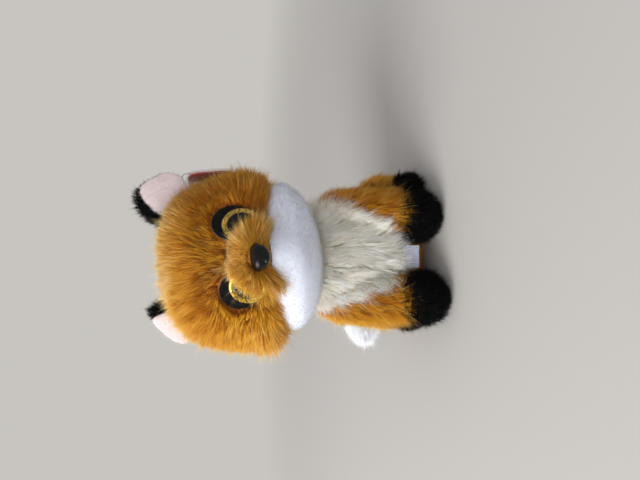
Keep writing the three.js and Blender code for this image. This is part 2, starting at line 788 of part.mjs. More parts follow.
// Hind legs: a thigh with a black paw, which swings out at the hip. Returns the space that the
// leg passes through, seen from the torso.
function buildHindLeg(name, { side, splay, tuck }) {
  const frame = frameAt(torso, side * (hipAcross - tuck), hipBack, hipHeight);
  frame.rotation.z = side * radians(splay);
  const thighX = side * (thighAcross - hipAcross);
  const thighForm = {
    path: upright(thighX, thighBack - hipBack, -hipHeight - floorCut, thighHeight),
    width: thighWidth,
    depth: thighDepth,
    fullness: plumpFullness,
  };
  const pawForm = {
    path: upright(0, 0, -hipHeight - floorCut, hindPawHeight),
    width: hindPawWidth,
    depth: hindPawLength,
    fullness: firmFullness,
  };
  const pawX = side * (hindPawAcross - hipAcross);
  const paw = (inset) => {
    const toeOut = turned(stuffed(pawForm, inset), axisZ, side * hindToeOut);
    return shifted(toeOut, pawX, -hindPawForward - hipBack, 0);
  };
  const shape = (inset) => joined(stuffed(thighForm, inset), paw(inset));
  const torsoSpace = inFrame(stuffed(torsoForm, -sweepGap), torso, frame);
  const front = frontLegParts[name];
  const swing = swept(front.shape(-sweepGap), axisX, [-legTravel[1], -legTravel[0]], 2);
  const frontSpace = inFrame(swing, front.frame, frame);
  const outwards = side > 0 ? hipTravel : [-hipTravel[1], -hipTravel[0]];
  const free = [seatOf(joined(torsoSpace, frontSpace), axisZ, outwards, 2), underFloor(frame)];
  const shell = cutBy(shape(0), [shape(pile), ...free]);
  addPiece(`${name}_hind_leg_cover`, shell.intersect(stuffed(thighForm)), "orange", frame);
  addPiece(`${name}_hind_paw_cover`, shell.subtract(stuffed(thighForm, -gap)), "black", frame);
  addPiece(`${name}_hind_leg_filling`, cutBy(shape(pile + gap), free), "filling", frame);
  return inFrame(swept(shape(-sweepGap), axisZ, outwards, 2), frame, torso);
}

// Tail: a bent tube that lies to the fox's right, with a white tip
function buildTail(legSpaces) {
  const frame = frameAt(torso, 0, tailRootBack, tailHeight);
  const bend = radians(tailBend);
  const radius = tailLength / bend;
  const points = [];
  for (let step = 0; step <= tailSteps; step++) {
    const share = step / tailSteps;
    const x = radius * (Math.cos(bend * share) - 1);
    const y = radius * Math.sin(bend * share);
    points.push(new THREE.Vector3(x, y, tailRise * share));
  }
  const tailForm = {
    path: new THREE.CatmullRomCurve3(points),
    width: tailWidth,
    depth: tailWidth,
    widthShares: tailSwellShares,
    side: axisZ,
    fullness: plumpFullness,
    steps: fineSteps,
  };
  const neighbours = inFrame(joined(stuffed(torsoForm, -sweepGap), ...legSpaces), torso, frame);
  const free = joined(seatOf(neighbours, axisZ, tailTravel, 2), underFloor(frame));
  const shell = stuffed(tailForm).subtract(stuffed(tailForm, pile)).subtract(free);
  const seam = tailForm.path.getPointAt(tailTipShare);
  const along = tailForm.path.getTangentAt(tailTipShare);
  const tipSide = halfSpace(seam, along);
  const rootSide = halfSpace(seam.clone().addScaledVector(along, gap), along.clone().negate());
  addPiece("tail_cover", shell.subtract(tipSide), "orange", frame);
  addPiece("tail_tip_cover", shell.subtract(rootSide), "white", frame);
  addPiece("tail_filling", stuffed(tailForm, pile + gap).subtract(free), "filling", frame);
}

// Swing tag: a rounded card in a clear sleeve, on a nylon loop through the seam under the left ear
function tagOutline(border) {
  const half = tagWidth / 2 + border;
  const top = tagHoleDrop + border;
  const bottom = tagHoleDrop - tagHeight - border;
  const corner = tagCorner + border;
  const shape = new THREE.Shape();
  shape.moveTo(half, bottom + corner);
  shape.lineTo(half, top - corner);
  shape.quadraticCurveTo(half, top, half - corner, top);
  shape.lineTo(corner - half, top);
  shape.quadraticCurveTo(-half, top, -half, top - corner);
  shape.lineTo(-half, bottom + corner);
  shape.quadraticCurveTo(-half, bottom, corner - half, bottom);
  shape.lineTo(half - corner, bottom);
  shape.quadraticCurveTo(half, bottom, half, bottom + corner);
  return shape;
}

// A plate with the tag's outline, upright and square to X, centred on its thickness
function tagPlate(border, thickness) {
  const plate = shifted(outlineSolid(tagOutline(border), thickness), 0, 0, -thickness / 2);
  return turned(turned(plate, axisX, 90), axisZ, 90);
}

function tagReach() {
  const low = loopRise - loopHeight / 2 - tagHeight;
  const beside = [low, loopRise].map((height) => surfaceAcross(headForm, loopBack, height));
  return Math.max(...beside) + tagClear;
}

// The loop runs from under the cover to its outer end, past the tag
function loopSpan() {
  const start = surfaceAcross(headForm, loopBack, loopRise) - loopBite;
  const end = tagReach() + tagFromEnd;
  return { middle: (start + end) / 2, width: end - start };
}

function loopCurve() {
  const { width } = loopSpan();
  const points = [];
  for (let step = 0; step < discSteps; step++) {
    const [across, up] = superCircle((2 * Math.PI * step) / discSteps, loopSquareness);
    points.push(new THREE.Vector3((across * width) / 2, 0, (up * loopHeight) / 2));
  }
  return new THREE.CatmullRomCurve3(points, true);
}

function loopSolid(wire) {
  const tube = toSolid(new THREE.TubeGeometry(loopCurve(), discSteps, wire, 6, true));
  return shifted(tube, loopSpan().middle, loopBack, loopRise);
}

function buildTag() {
  const frame = frameAt(head, tagReach(), loopBack, loopRise - loopHeight / 2);
  frame.rotation.z = radians(tagYaw);
  const hole = disc(tagHole, tagThick + 2 * (sleeveWall + gap + overrun), stemSteps);
  const holePlace = turned(shifted(hole, 0, 0, -tagThick / 2 - sleeveWall - gap - overrun), axisY, 90);
  addPiece("tag_card", tagPlate(0, tagThick).subtract(holePlace), "card", frame);
  const room = tagPlate(gap, tagThick + 2 * gap);
  const mouth = joined(room, shifted(room, 0, 0, tagCorner + sleeveBorder));
  const sleeve = tagPlate(sleeveBorder, tagThick + 2 * (gap + sleeveWall));
  addPiece("tag_sleeve", sleeve.subtract(mouth).subtract(holePlace), "lens", frame);
  addPiece("tag_loop", loopSolid(loopWire), "nylon", head);
}

// Sewn-in label: a folded satin strip that hangs from the front seam between the front paws
function buildLabel() {
  const ahead = surfaceForward(torsoForm, 0, labelTop) + gap + labelThick / 2;
  const frame = frameAt(torso, 0, -ahead, labelTop);
  const strip = new THREE.BoxGeometry(labelWidth, labelThick, labelLength);
  strip.translate(0, 0, -labelLength / 2);
  addPiece("sewn_label", toSolid(strip), "satin", frame);
}

buildTorso();
for (const [name, eye] of Object.entries(eyes)) {
  buildEye(name, eye);
}
buildNose();
cutForLoop();
buildHead();
for (const [name, ear] of Object.entries(ears)) {
  buildEar(name, ear);
}
for (const [name, leg] of Object.entries(frontLegs)) {
  buildFrontLeg(name, leg);
}
buildTail(Object.entries(hindLegs).map(([name, leg]) => buildHindLeg(name, leg)));
buildTag();
buildLabel();

export default fox;
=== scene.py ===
"""Looks of a sitting plush fox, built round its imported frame.

Everything is worked out in millimetres in the frame's axes, +Z up, the fox facing -Y and +X its left,
and turned into metres when a piece is made. A stuffed part is a form swept along a path. Its fabric is
a thin shell a little inside the form, and its pile is a coat of tapered fibres that fills the rest.
"""

import json
import logging
import math
from dataclasses import dataclass
from enum import Enum
from typing import Callable, Optional, Sequence

import bpy
import numpy as np
from mathutils import Matrix, Vector

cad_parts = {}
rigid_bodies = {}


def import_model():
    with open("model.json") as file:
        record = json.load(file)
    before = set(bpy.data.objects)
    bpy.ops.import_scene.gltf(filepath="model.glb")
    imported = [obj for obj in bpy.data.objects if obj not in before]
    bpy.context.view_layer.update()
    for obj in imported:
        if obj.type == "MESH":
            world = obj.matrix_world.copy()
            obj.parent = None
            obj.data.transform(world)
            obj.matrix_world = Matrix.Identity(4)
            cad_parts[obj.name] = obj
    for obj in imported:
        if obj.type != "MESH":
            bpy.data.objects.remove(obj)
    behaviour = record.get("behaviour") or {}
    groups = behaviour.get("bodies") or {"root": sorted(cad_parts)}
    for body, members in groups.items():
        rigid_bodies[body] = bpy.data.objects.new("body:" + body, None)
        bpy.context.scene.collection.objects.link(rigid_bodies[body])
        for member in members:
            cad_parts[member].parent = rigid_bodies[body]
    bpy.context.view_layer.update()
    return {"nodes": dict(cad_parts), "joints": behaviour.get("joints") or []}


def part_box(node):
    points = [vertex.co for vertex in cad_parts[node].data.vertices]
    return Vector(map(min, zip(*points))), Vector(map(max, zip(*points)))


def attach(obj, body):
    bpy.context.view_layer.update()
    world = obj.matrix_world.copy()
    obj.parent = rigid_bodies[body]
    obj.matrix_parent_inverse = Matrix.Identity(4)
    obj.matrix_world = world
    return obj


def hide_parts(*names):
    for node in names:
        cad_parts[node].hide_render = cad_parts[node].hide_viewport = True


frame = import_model()

Array = np.ndarray
Colour = tuple[float, float, float]
Pair = tuple[float, float]
Stops = Sequence[tuple[float, Colour]]
Socket = bpy.types.NodeSocket
Material = bpy.types.Material
log = logging.getLogger("plush_fox")

MM = 0.001  # metres in a millimetre
TINY = 1e-9
GAP = 0.3  # between pieces that touch
PILE_DEPTH = 4.0  # from the outside of a long-pile form to its fabric
SHORT_DEPTH = 0.9  # the same under short pile
BACKING = 0.9  # thickness of the woven backing
SWEEP_GAP = 0.5  # kept clear of a piece all along its travel
FAR = 99.0  # a distance past every edge
TONE_STEP = 0.012  # how wide a fibre lies on its map
OFF_AXES = (0.31, 0.52, 0.79)  # a direction that hardly any fibre has
SHARP_DEGREES = 40.0  # edges that bend more than this stay sharp


def lengths(vectors: Array) -> Array:
    """Returns the vectors' lengths."""
    return np.linalg.norm(vectors, axis=-1)


def unit(vectors: Array) -> Array:
    """Returns the vectors, each divided by its own length."""
    return vectors / np.maximum(np.linalg.norm(vectors, axis=-1, keepdims=True), TINY)


def dot(first: Array, second: Array) -> Array:
    """Returns the dot products along the last axis, which is kept."""
    return np.sum(first * second, axis=-1, keepdims=True)


def smooth(values: Array, low: float, high: float) -> Array:
    """Returns 0 below low, 1 above high, and 3t^2 - 2t^3 between them."""
    share = np.clip((values - low) / (high - low), 0, 1)
    return share * share * (3 - 2 * share)


def turning(axis: str, degrees: float) -> Array:
    """Returns the matrix that turns points about a main axis."""
    return np.array(Matrix.Rotation(math.radians(degrees), 3, axis))


def turns(count: int) -> Array:
    """Returns count angles, evenly spaced round a full turn."""
    return 2 * np.pi * np.arange(count) / count


def squared(angle: Array, squareness: float) -> tuple[Array, Array]:
    """Returns x and y where |x|^q + |y|^q = 1, with q the squareness, at angles."""
    x, y, power = np.cos(angle), np.sin(angle), 2 / squareness
    return np.sign(x) * np.abs(x) ** power, np.sign(y) * np.abs(y) ** power


def ripples(points: Array, size: float, seed: int, count: int = 6) -> Array:
    """Works out a smooth random field as a sum of plane sine waves.

    Args:
        points: places, in millimetres.
        size: the usual distance between two crests.
        seed: picks the waves' directions and phases.
        count: how many waves are added.

    Returns:
        One value from about -1 to 1 for each place.
    """
    rng = np.random.default_rng(seed)
    waves = unit(rng.normal(size=(count, 3))) * rng.uniform(0.7, 1.6, (count, 1))
    phases = rng.uniform(0, 2 * math.pi, count)
    values = np.sin(points @ waves.T * (2 * math.pi / size) + phases)
    return values.sum(axis=-1) / math.sqrt(count)


@dataclass(frozen=True, eq=False)
class Place:
    """A frame that a part is built in: how it is turned, and where its origin is."""

    turn: Array
    origin: Array

    def points(self, local: Array) -> Array:
        """Returns the frame's own points in the fox's axes."""
        return local @ self.turn.T + self.origin

    def directions(self, local: Array) -> Array:
        """Returns the frame's own directions in the fox's axes."""
        return local @ self.turn.T

    def back(self, points: Array) -> Array:
        """Returns points of the fox's axes in the frame's own."""
        return (points - self.origin) @ self.turn

    def holding(self, turn: Array, origin: Sequence[float]) -> "Place":
        """Returns a frame that is given inside this one, seen from outside."""
        return Place(self.turn @ turn, self.points(np.array(origin, float)))


WORLD = Place(np.eye(3), np.zeros(3))


def joint_place(joint: str) -> Array:
    """Returns a joint's pivot, in millimetres."""
    found = next(j for j in frame["joints"] if j["name"] == joint)
    return np.array(found["pos_m"]) / MM


@dataclass(frozen=True, eq=False)
class StuffedForm:
    """A stuffed part: rings along a path that swell between two round ends.

    A point is at share s of the path, half way out by x across and y through. The surface is where
    (|x|^q + |y|^q)^(f/q) + |2s - 1|^f = 1, with q the squareness and f the fullness.
    """

    path: Array
    width: float
    depth: float
    width_shares: Sequence[float] = (1.0, 1.0)
    depth_shares: Optional[Sequence[float]] = None
    side: Sequence[float] = (1.0, 0.0, 0.0)
    fullness: float = 2.4
    squareness: float = 2.0
    place: Place = WORLD

    def _marks(self) -> Array:
        """Returns the distance of each path point from the start, along the path."""
        steps = lengths(np.diff(self.path, axis=0))
        return np.concatenate(([0.0], np.cumsum(steps)))

    def _spine(self, distance: Array) -> tuple[Array, Array, Array, Array]:
        """Works out the path's middle and axes at distances along it, straight on past its ends.

        Args:
            distance: millimetres along the path.

        Returns:
            The centre, the tangent, and the directions across and through, in the form's frame.
        """
        marks = self._marks()
        inside = np.clip(distance, 0, marks[-1])
        slopes = unit(np.gradient(self.path, marks, axis=0))
        centre = np.stack([np.interp(inside, marks, self.path[:, k]) for k in range(3)], -1)
        tangent = unit(np.stack([np.interp(inside, marks, slopes[:, k]) for k in range(3)], -1))
        centre = centre + tangent * (distance - inside)[..., None]
        through = unit(np.cross(tangent, np.array(self.side, float)))
        across = unit(np.cross(through, tangent))
        return centre, tangent, across, through

    @staticmethod
    def _share_at(shares: Sequence[float], along: Array) -> Array:
        """Reads a row of shares at places along the path, smoothly joined.

        Args:
            shares: values at even steps along the path.
            along: places from 0 to 1.

        Returns:
            The value at each place.
        """
        table = np.array(shares, float)
        place = np.clip(along, 0, 1) * (len(table) - 1)
        low = np.minimum(np.floor(place).astype(int), len(table) - 2)
        return table[low] + (table[low + 1] - table[low]) * smooth(place - low, 0, 1)

    def _half_sizes(self, along: Array, inset: Array | float) -> tuple[Array, Array]:
        """Works out the half sizes along the path, without the round ends.

        Args:
            along: places from 0 to 1.
            inset: how far inside the form's outside.

        Returns:
            The half widths and half depths.
        """
        through = self.width_shares if self.depth_shares is None else self.depth_shares
        half_width = (self.width / 2 - inset) * self._share_at(self.width_shares, along)
        half_depth = (self.depth / 2 - inset) * self._share_at(through, along)
        return half_width, half_depth

    def at(self, along: Array, x: Array, y: Array, inset: Array | float = 0.0) -> Array:
        """Places points by their shares.

        Args:
            along: from 0 to 1 along the path.
            x: across, as a share of the half width there.
            y: through, as a share of the half depth there.
            inset: how far inside the form's outside the surface is.

        Returns:
            The points, in the fox's axes.
        """
        length = self._marks()[-1]
        centre, _, across, through = self._spine(inset + along * (length - 2 * inset))
        half_width, half_depth = self._half_sizes(along, inset)
        local = centre + across * (x * half_width)[..., None] + through * (y * half_depth)[..., None]
        return self.place.points(local)

    def grid(self, around: int, along: int, inset: Array | float = 0.0) -> Array:
        """Works out the surface on a grid of rings, with a pole at each end.

        Args:
            around: points in a ring.
            along: steps from one pole to the other.
            inset: one distance, or one for each point of the grid.

        Returns:
            An array of along + 1 rings of points.
        """
        share = (1 - np.cos(np.pi * np.arange(along + 1) / along)) / 2
        swell = (1 - np.abs(2 * share - 1) ** self.fullness) ** (1 / self.fullness)
        x, y = squared(turns(around), self.squareness)
        shares = np.repeat(share[:, None], around, axis=1)
        depth = np.broadcast_to(np.asarray(inset, float), shares.shape)
        return self.at(shares, swell[:, None] * x, swell[:, None] * y, depth)

    def level(self, points: Array, inset: float = 0.0) -> Array:
        """Tells how far out points are: under 1 inside the form, 1 on it, more outside.

        Args:
            points: places in the fox's axes.
            inset: how far inside the form's outside the surface is, or outside if negative.

        Returns:
            (|x|^q + |y|^q)^(f/q) + |2s - 1|^f, to the power 1/f.
        """
        local = self.place.back(points)
        marks = self._marks()
        if len(self.path) == 2:
            slope = unit(self.path[1] - self.path[0])
            distance = (local - self.path[0]) @ slope
        else:
            apart = ((local[:, None, :] - self.path[None]) ** 2).sum(axis=-1)
            distance = marks[np.argmin(apart, axis=1)]
        centre, _, across, through = self._spine(distance)
        share = (distance - inset) / (marks[-1] - 2 * inset)
        half_width, half_depth = self._half_sizes(share, inset)
        x = np.abs(dot(local - centre, across)[..., 0] / half_width)
        y = np.abs(dot(local - centre, through)[..., 0] / half_depth)
        radial = (x**self.squareness + y**self.squareness) ** (1 / self.squareness)
        return (radial**self.fullness + np.abs(2 * share - 1) ** self.fullness) ** (1 / self.fullness)

    def ahead(self, across: Array | float, height: Array | float) -> Array:
        """Works out how far ahead of its frame an upright form's surface lies.

        Args:
            across: places across, in the form's frame.
            height: places up.

        Returns:
            The distances ahead, or that of the form's middle for places past its outline.
        """
        low, high = self.path[0], self.path[-1]
        share = (np.asarray(height, float) - low[2]) / self._marks()[-1]
        centre = low + (high - low) * share[..., None]
        swell = np.clip(1 - np.abs(2 * share - 1) ** self.fullness, 0, None) ** (1 / self.fullness)
        half_width, half_depth = (half * swell for half in self._half_sizes(share, 0.0))
        off = np.abs((across - centre[..., 0]) / np.maximum(half_width, TINY))
        reach = np.clip(1 - off**self.squareness, 0, None) ** (1 / self.squareness)
        return half_depth * reach - centre[..., 1]


def upright(x: float, y: float, bottom: float, height: float, lean: float = 0.0) -> Array:
    """Returns a straight path that stands at x, y and leans ahead by lean at its top."""
    return np.array([[x, y, bottom], [x, y - lean, bottom + height]], float)


def through_points(points: Sequence[Sequence[float]], steps: int = 24) -> Array:
    """Joins points by a smooth curve.

    Args:
        points: at least three places.
        steps: how many short steps each stretch takes.

    Returns:
        Points along the curve, by Catmull and Rom's cubic between each pair.
    """
    held = np.array(points, float)
    padded = np.concatenate(([2 * held[0] - held[1]], held, [2 * held[-1] - held[-2]]))
    t = np.linspace(0, 1, steps, endpoint=False)[:, None]
    square, cube = t * t, t * t * t
    pieces = [
        0.5 * (2 * b + (c - a) * t + (2 * a - 5 * b + 4 * c - d) * square + (3 * b - a - 3 * c + d) * cube)
        for a, b, c, d in zip(padded, padded[1:], padded[2:], padded[3:])
    ]
    return np.concatenate([*pieces, held[-1:]])


class Join(Enum):
    """How one solid is put together with another."""

    ADD = "UNION"
    CUT = "DIFFERENCE"
    KEEP = "INTERSECT"


@dataclass(eq=False)
class Solid:
    """A closed mesh in millimetres, which others can be joined to, or cut from."""

    points: Array
    corners: Array
    starts: Array

    @classmethod
    def from_faces(cls, points: Array, faces: Sequence[Array]) -> "Solid":
        """Puts points and tables of faces together.

        Args:
            points: the solid's points.
            faces: tables of corners, each with its own count of them a face.

        Returns:
            The solid.
        """
        counts = np.concatenate([np.full(len(table), table.shape[1]) for table in faces])
        corners = np.concatenate([table.ravel() for table in faces])
        return cls(points, corners, np.concatenate(([0], np.cumsum(counts)[:-1])))

    @classmethod
    def from_rings(cls, rings: Array) -> "Solid":
        """Closes rings of points over their two ends.

        Args:
            rings: the rings between the ends, or with an end ring drawn in to a pole.

        Returns:
            Quads between neighbouring rings, and a fan of triangles at each end.
        """
        first, last = rings[0].mean(axis=0), rings[-1].mean(axis=0)
        middle = rings[1:-1] if np.ptp(rings[0], axis=0).max() < TINY else rings
        count, around = middle.shape[:2]
        at = 1 + np.arange(count)[:, None] * around + np.arange(around)[None]
        after = np.roll(at, -1, axis=1)
        quads = np.stack([at[:-1], after[:-1], after[1:], at[1:]], -1).reshape(-1, 4)
        low = np.stack([np.zeros(around, int), after[0], at[0]], -1)
        high = np.stack([np.full(around, 1 + count * around), at[-1], after[-1]], -1)
        points = np.concatenate([first[None], middle.reshape(-1, 3), last[None]])
        return cls.from_faces(points, [quads, np.concatenate([low, high])])

    @classmethod
    def from_sheets(cls, front: Array, behind: Array) -> "Solid":
        """Closes two sheets of points, one right behind the other, along their edges.

        Args:
            front: rows of points, with columns to the right as rows go up, seen from outside.
            behind: as many rows for the back.

        Returns:
            Quads on both sheets, and a band of quads round the rim.
        """
        rows, columns = front.shape[:2]
        at = np.arange(rows * columns).reshape(rows, columns)
        far = at + rows * columns
        rim = np.concatenate([at[0, :], at[1:, -1], at[-1, -2::-1], at[-2:0:-1, 0]])
        after = np.roll(rim, -1)
        faces = [
            np.stack([at[:-1, :-1], at[:-1, 1:], at[1:, 1:], at[1:, :-1]], -1).reshape(-1, 4),
            np.stack([far[:-1, :-1], far[1:, :-1], far[1:, 1:], far[:-1, 1:]], -1).reshape(-1, 4),
            np.stack([after, rim, rim + rows * columns, after + rows * columns], -1),
        ]
        return cls.from_faces(np.concatenate([front.reshape(-1, 3), behind.reshape(-1, 3)]), faces)

    @classmethod
    def from_loop(cls, rings: Array) -> "Solid":
        """Joins rings of points all round in both ways, as in a tyre.

        Args:
            rings: the rings.

        Returns:
            The solid, of quads.
        """
        count, around = rings.shape[:2]
        at = np.arange(count * around).reshape(count, around)
        after, ahead = np.roll(at, -1, axis=1), np.roll(at, -1, axis=0)
        quads = np.stack([at, after, np.roll(ahead, -1, axis=1), ahead], -1).reshape(-1, 4)
        return cls.from_faces(rings.reshape(-1, 3), [quads])

    @classmethod
    def lathed(cls, profile: Sequence[Sequence[float]], place: Place, around: int = 96) -> "Solid":
        """Turns a profile about a frame's own +Z.

        A profile that starts and ends on the axis gives a solid body, and any other a ring whose
        profile runs up its outer side and down its inner one.

        Args:
            profile: radius and height of each point.
            place: the frame.
            around: points in a ring.

        Returns:
            The turned solid.
        """
        radius, height = np.array(profile, float).T
        x, y = radius[:, None] * np.cos(turns(around)), radius[:, None] * np.sin(turns(around))
        rings = place.points(np.stack([x, y, np.broadcast_to(height[:, None], x.shape)], -1))
        return cls.from_rings(rings) if radius[0] < TINY else cls.from_loop(rings)

    @classmethod
    def half_space(cls, point: Sequence[float], direction: Sequence[float], size: float = 300.0) -> "Solid":
        """Makes a large block that fills the far side of a plane.

        Args:
            point: a place on the plane.
            direction: square to the plane, into the block.
            size: the block's side.

        Returns:
            The block.
        """
        turn = np.array(Vector((0, 0, 1)).rotation_difference(Vector(direction)).to_matrix())
        unit_corners = np.array([[x, y, z] for z in (0, 1) for y in (-0.5, 0.5) for x in (-0.5, 0.5)])
        quads = np.array([[0, 2, 3, 1], [4, 5, 7, 6], [0, 1, 5, 4], [2, 6, 7, 3], [0, 4, 6, 2], [1, 3, 7, 5]])
        return cls.from_faces(unit_corners * size @ turn.T + np.array(point, float), [quads])

    def moved(self, change: Callable[[Array], Array]) -> "Solid":
        """Returns a copy with its points changed."""
        return Solid(change(self.points), self.corners, self.starts)

    def mesh(self, name: str, scale: float = 1.0) -> bpy.types.Mesh:
        """Makes a mesh of the solid.

        Args:
            name: the mesh's name.
            scale: what the points are multiplied by.

        Returns:
            The new mesh.
        """
        made = bpy.data.meshes.new(name)
        made.vertices.add(len(self.points))
        made.vertices.foreach_set("co", (self.points * scale).astype(np.float32).ravel())
        made.loops.add(len(self.corners))
        made.loops.foreach_set("vertex_index", self.corners.astype(np.int32))
        made.polygons.add(len(self.starts))
        made.polygons.foreach_set("loop_start", self.starts.astype(np.int32))
        made.update(calc_edges=True)
        return made

    def cut(self, *others: "Solid") -> "Solid":
        """Returns the solid without the others."""
        return self.joined(others, Join.CUT)

    def joined(self, others: Sequence["Solid"], how: Join) -> "Solid":
        """Puts this solid together with others, in order.

        Args:
            others: the solids to add, cut away or keep within.
            how: which of these is done.

        Returns:
            The result as a new solid.
        """
        scene = bpy.context.scene.collection.objects
        tools = [bpy.data.objects.new("tool", other.mesh("tool")) for other in others]
        base = bpy.data.objects.new("base", self.mesh("base"))
        for made in [base, *tools]:
            scene.link(made)
        for tool in tools:
            step = base.modifiers.new("step", "BOOLEAN")
            step.object, step.operation, step.solver = tool, how.value, "MANIFOLD"
        graph = bpy.context.evaluated_depsgraph_get()
        result = bpy.data.meshes.new_from_object(base.evaluated_get(graph))
        points = np.empty(len(result.vertices) * 3)
        corners = np.empty(len(result.loops), np.int32)
        starts = np.empty(len(result.polygons), np.int32)
        result.vertices.foreach_get("co", points)
        result.loops.foreach_get("vertex_index", corners)
        result.polygons.foreach_get("loop_start", starts)
        for made in [base, *tools]:
            held = made.data
            bpy.data.objects.remove(made)
            bpy.data.meshes.remove(held)
        bpy.data.meshes.remove(result)
        return Solid(points.reshape(-1, 3), corners, starts)


def stuffed(form: StuffedForm, inset: float = 0.0, around: int = 72, along: int = 48) -> Solid:
    """Returns the solid inside a form's surface."""
    return Solid.from_rings(form.grid(around, along, inset))


@dataclass(eq=False)
class Bed:
    """Places on a fabric where fibres are rooted, with the fabric's outward directions."""

    points: Array
    normals: Array

    def where(self, keep: Array) -> "Bed":
        """Returns the places for which keep is true."""
        return Bed(self.points[keep], self.normals[keep])

    def above(self, height: float) -> "Bed":
        """Returns the places that lie over a height."""
        return self.where(self.points[:, 2] > height)

    def clear_of(self, form: StuffedForm, inset: float) -> "Bed":
        """Returns the places that lie outside a form's surface."""
        return self.where(form.level(self.points, inset) > 1)


def scatter(rings: Array, per_square: float, seed: int) -> Bed:
    """Picks places at random, evenly by area, on rings of points.

    Each face of the grid is two triangles. A triangle is picked by its area, and a place in it by
    weights 1 - sqrt(a), sqrt(a)(1 - b) and sqrt(a) b from two even random numbers a and b.

    Args:
        rings: rings of points, from one end to the other.
        per_square: how many places there are in a square millimetre.
        seed: makes the choice.

    Returns:
        The places and the surface's smooth outward directions there.
    """
    rng = np.random.default_rng(seed)
    around = np.roll(rings, -1, axis=1) - np.roll(rings, 1, axis=1)
    facing = unit(np.cross(around, np.gradient(rings, axis=0)))
    middle = rings.mean(axis=1)
    facing[0], facing[-1] = unit(np.stack([middle[0] - middle[1], middle[-1] - middle[-2]]))
    both = np.concatenate([rings, facing], axis=-1)
    turned = np.roll(both, -1, axis=1)
    a, b, c, d = both[:-1], turned[:-1], turned[1:], both[1:]
    triangles = np.concatenate([np.stack(corners, 2).reshape(-1, 3, 6) for corners in ((a, b, c), (a, c, d))])
    flat = triangles[..., :3]
    area = lengths(np.cross(flat[:, 1] - flat[:, 0], flat[:, 2] - flat[:, 0])) / 2
    picked = rng.choice(len(area), int(area.sum() * per_square), p=area / area.sum())
    root, other = np.sqrt(rng.random(len(picked))), rng.random(len(picked))
    weights = np.stack([1 - root, root * (1 - other), root * other], -1)
    mixed = np.einsum("nk,nkc->nc", weights, triangles[picked])
    return Bed(mixed[:, :3], unit(mixed[:, 3:]))


def nearest(points: Array, heads: Array, chunk: int = 4096) -> Array:
    """Finds the nearest head for each point, a chunk of points at a time.

    Args:
        points: the places.
        heads: the heads' places.
        chunk: how many points go at once.

    Returns:
        The index of each point's head.
    """
    found = []
    squares = (heads**2).sum(axis=1)
    for start in range(0, len(points), chunk):
        apart = squares - 2 * points[start : start + chunk] @ heads.T
        found.append(np.argmin(apart, axis=1))
    return np.concatenate(found)


@dataclass(eq=False)
class Fibres:
    """Grown fibres: a centre line for each, its width at the root, and its tone."""

    lines: Array
    widths: Array
    tones: Array

    def where(self, keep: Array) -> "Fibres":
        """Returns the fibres for which keep is true."""
        return Fibres(self.lines[keep], self.widths[keep], self.tones[keep])

    def with_points(self, change: Callable[[Array], Array]) -> "Fibres":
        """Changes the points of the fibres' lines, all but their roots.

        Args:
            change: gives points their new places.

        Returns:
            The changed fibres.
        """
        moved = self.lines.copy()
        free = moved[:, 1:].reshape(-1, 3)
        moved[:, 1:] = change(free).reshape(moved[:, 1:].shape)
        return Fibres(moved, self.widths, self.tones)

    def mesh(self, name: str) -> bpy.types.Mesh:
        """Makes each fibre a closed tube of three sides that ends in a point.

        A ring at share t of a line has three corners a third of a turn apart, at a radius of half the
        width times 1 - t^2. The map holds the tone across and t along.

        Args:
            name: the mesh's name.

        Returns:
            One mesh that holds all of the fibres.
        """
        count, knots = self.lines.shape[:2]
        rings = knots - 1
        slope = unit(np.gradient(self.lines, axis=1))
        first = unit(np.cross(slope, OFF_AXES))
        second = np.cross(slope, first)
        t = np.arange(knots) / (knots - 1)
        radius = self.widths[:, None] / 2 * (1 - t[None] ** 2)
        x, y = np.cos(turns(3))[:, None], np.sin(turns(3))[:, None]
        spread = first[:, :rings, None] * x + second[:, :rings, None] * y
        tubes = self.lines[:, :rings, None] + spread * radius[:, :rings, None, None]
        points = np.concatenate([tubes.reshape(count, -1, 3), self.lines[:, -1:]], axis=1)

        corner, following = np.arange(3), np.array([1, 2, 0])
        foot = 3 * np.arange(rings - 1)[:, None]
        quads = np.stack([foot + corner, foot + following, foot + 3 + following, foot + 3 + corner], -1)
        quads = quads.reshape(-1, 4)
        top = (rings - 1) * 3
        tips = np.stack([top + corner, top + following, np.full(3, rings * 3)], -1)
        one = Solid.from_faces(points[:1], [quads, np.concatenate([tips, [[0, 2, 1]]])])
        offsets = np.arange(count)[:, None]
        corners = (one.corners + offsets * points.shape[1]).ravel()
        starts = (one.starts + offsets * len(one.corners)).ravel()
        made = Solid(points.reshape(-1, 3), corners, starts).mesh(name, MM)

        quad_v = np.repeat(np.arange(rings - 1), 3)[:, None] + np.array([0, 0, 1, 1])
        tip_v = np.tile([rings - 1, rings - 1, rings], 3)
        local_u = np.append(np.tile([0.0, 1.0, 1.0, 0.0], len(quads)), np.tile([0.0, 1.0, 0.5], 4))
        local_v = np.concatenate([quad_v.ravel(), tip_v, [0, 0, 0.1]]) / rings
        layer = made.uv_layers.new(name="OFBake")
        u = self.tones[:, None] * (1 - TONE_STEP) + local_u * TONE_STEP
        v = np.broadcast_to(local_v[None], u.shape)
        layer.uv.foreach_set("vector", np.stack([u, v], -1).astype(np.float32).ravel())
        made.shade_smooth()
        return made


@dataclass(frozen=True)
class Locks:
    """How fibres gather: the distance between two locks, and how far tips are drawn to their lock."""

    spacing: float
    gather: float


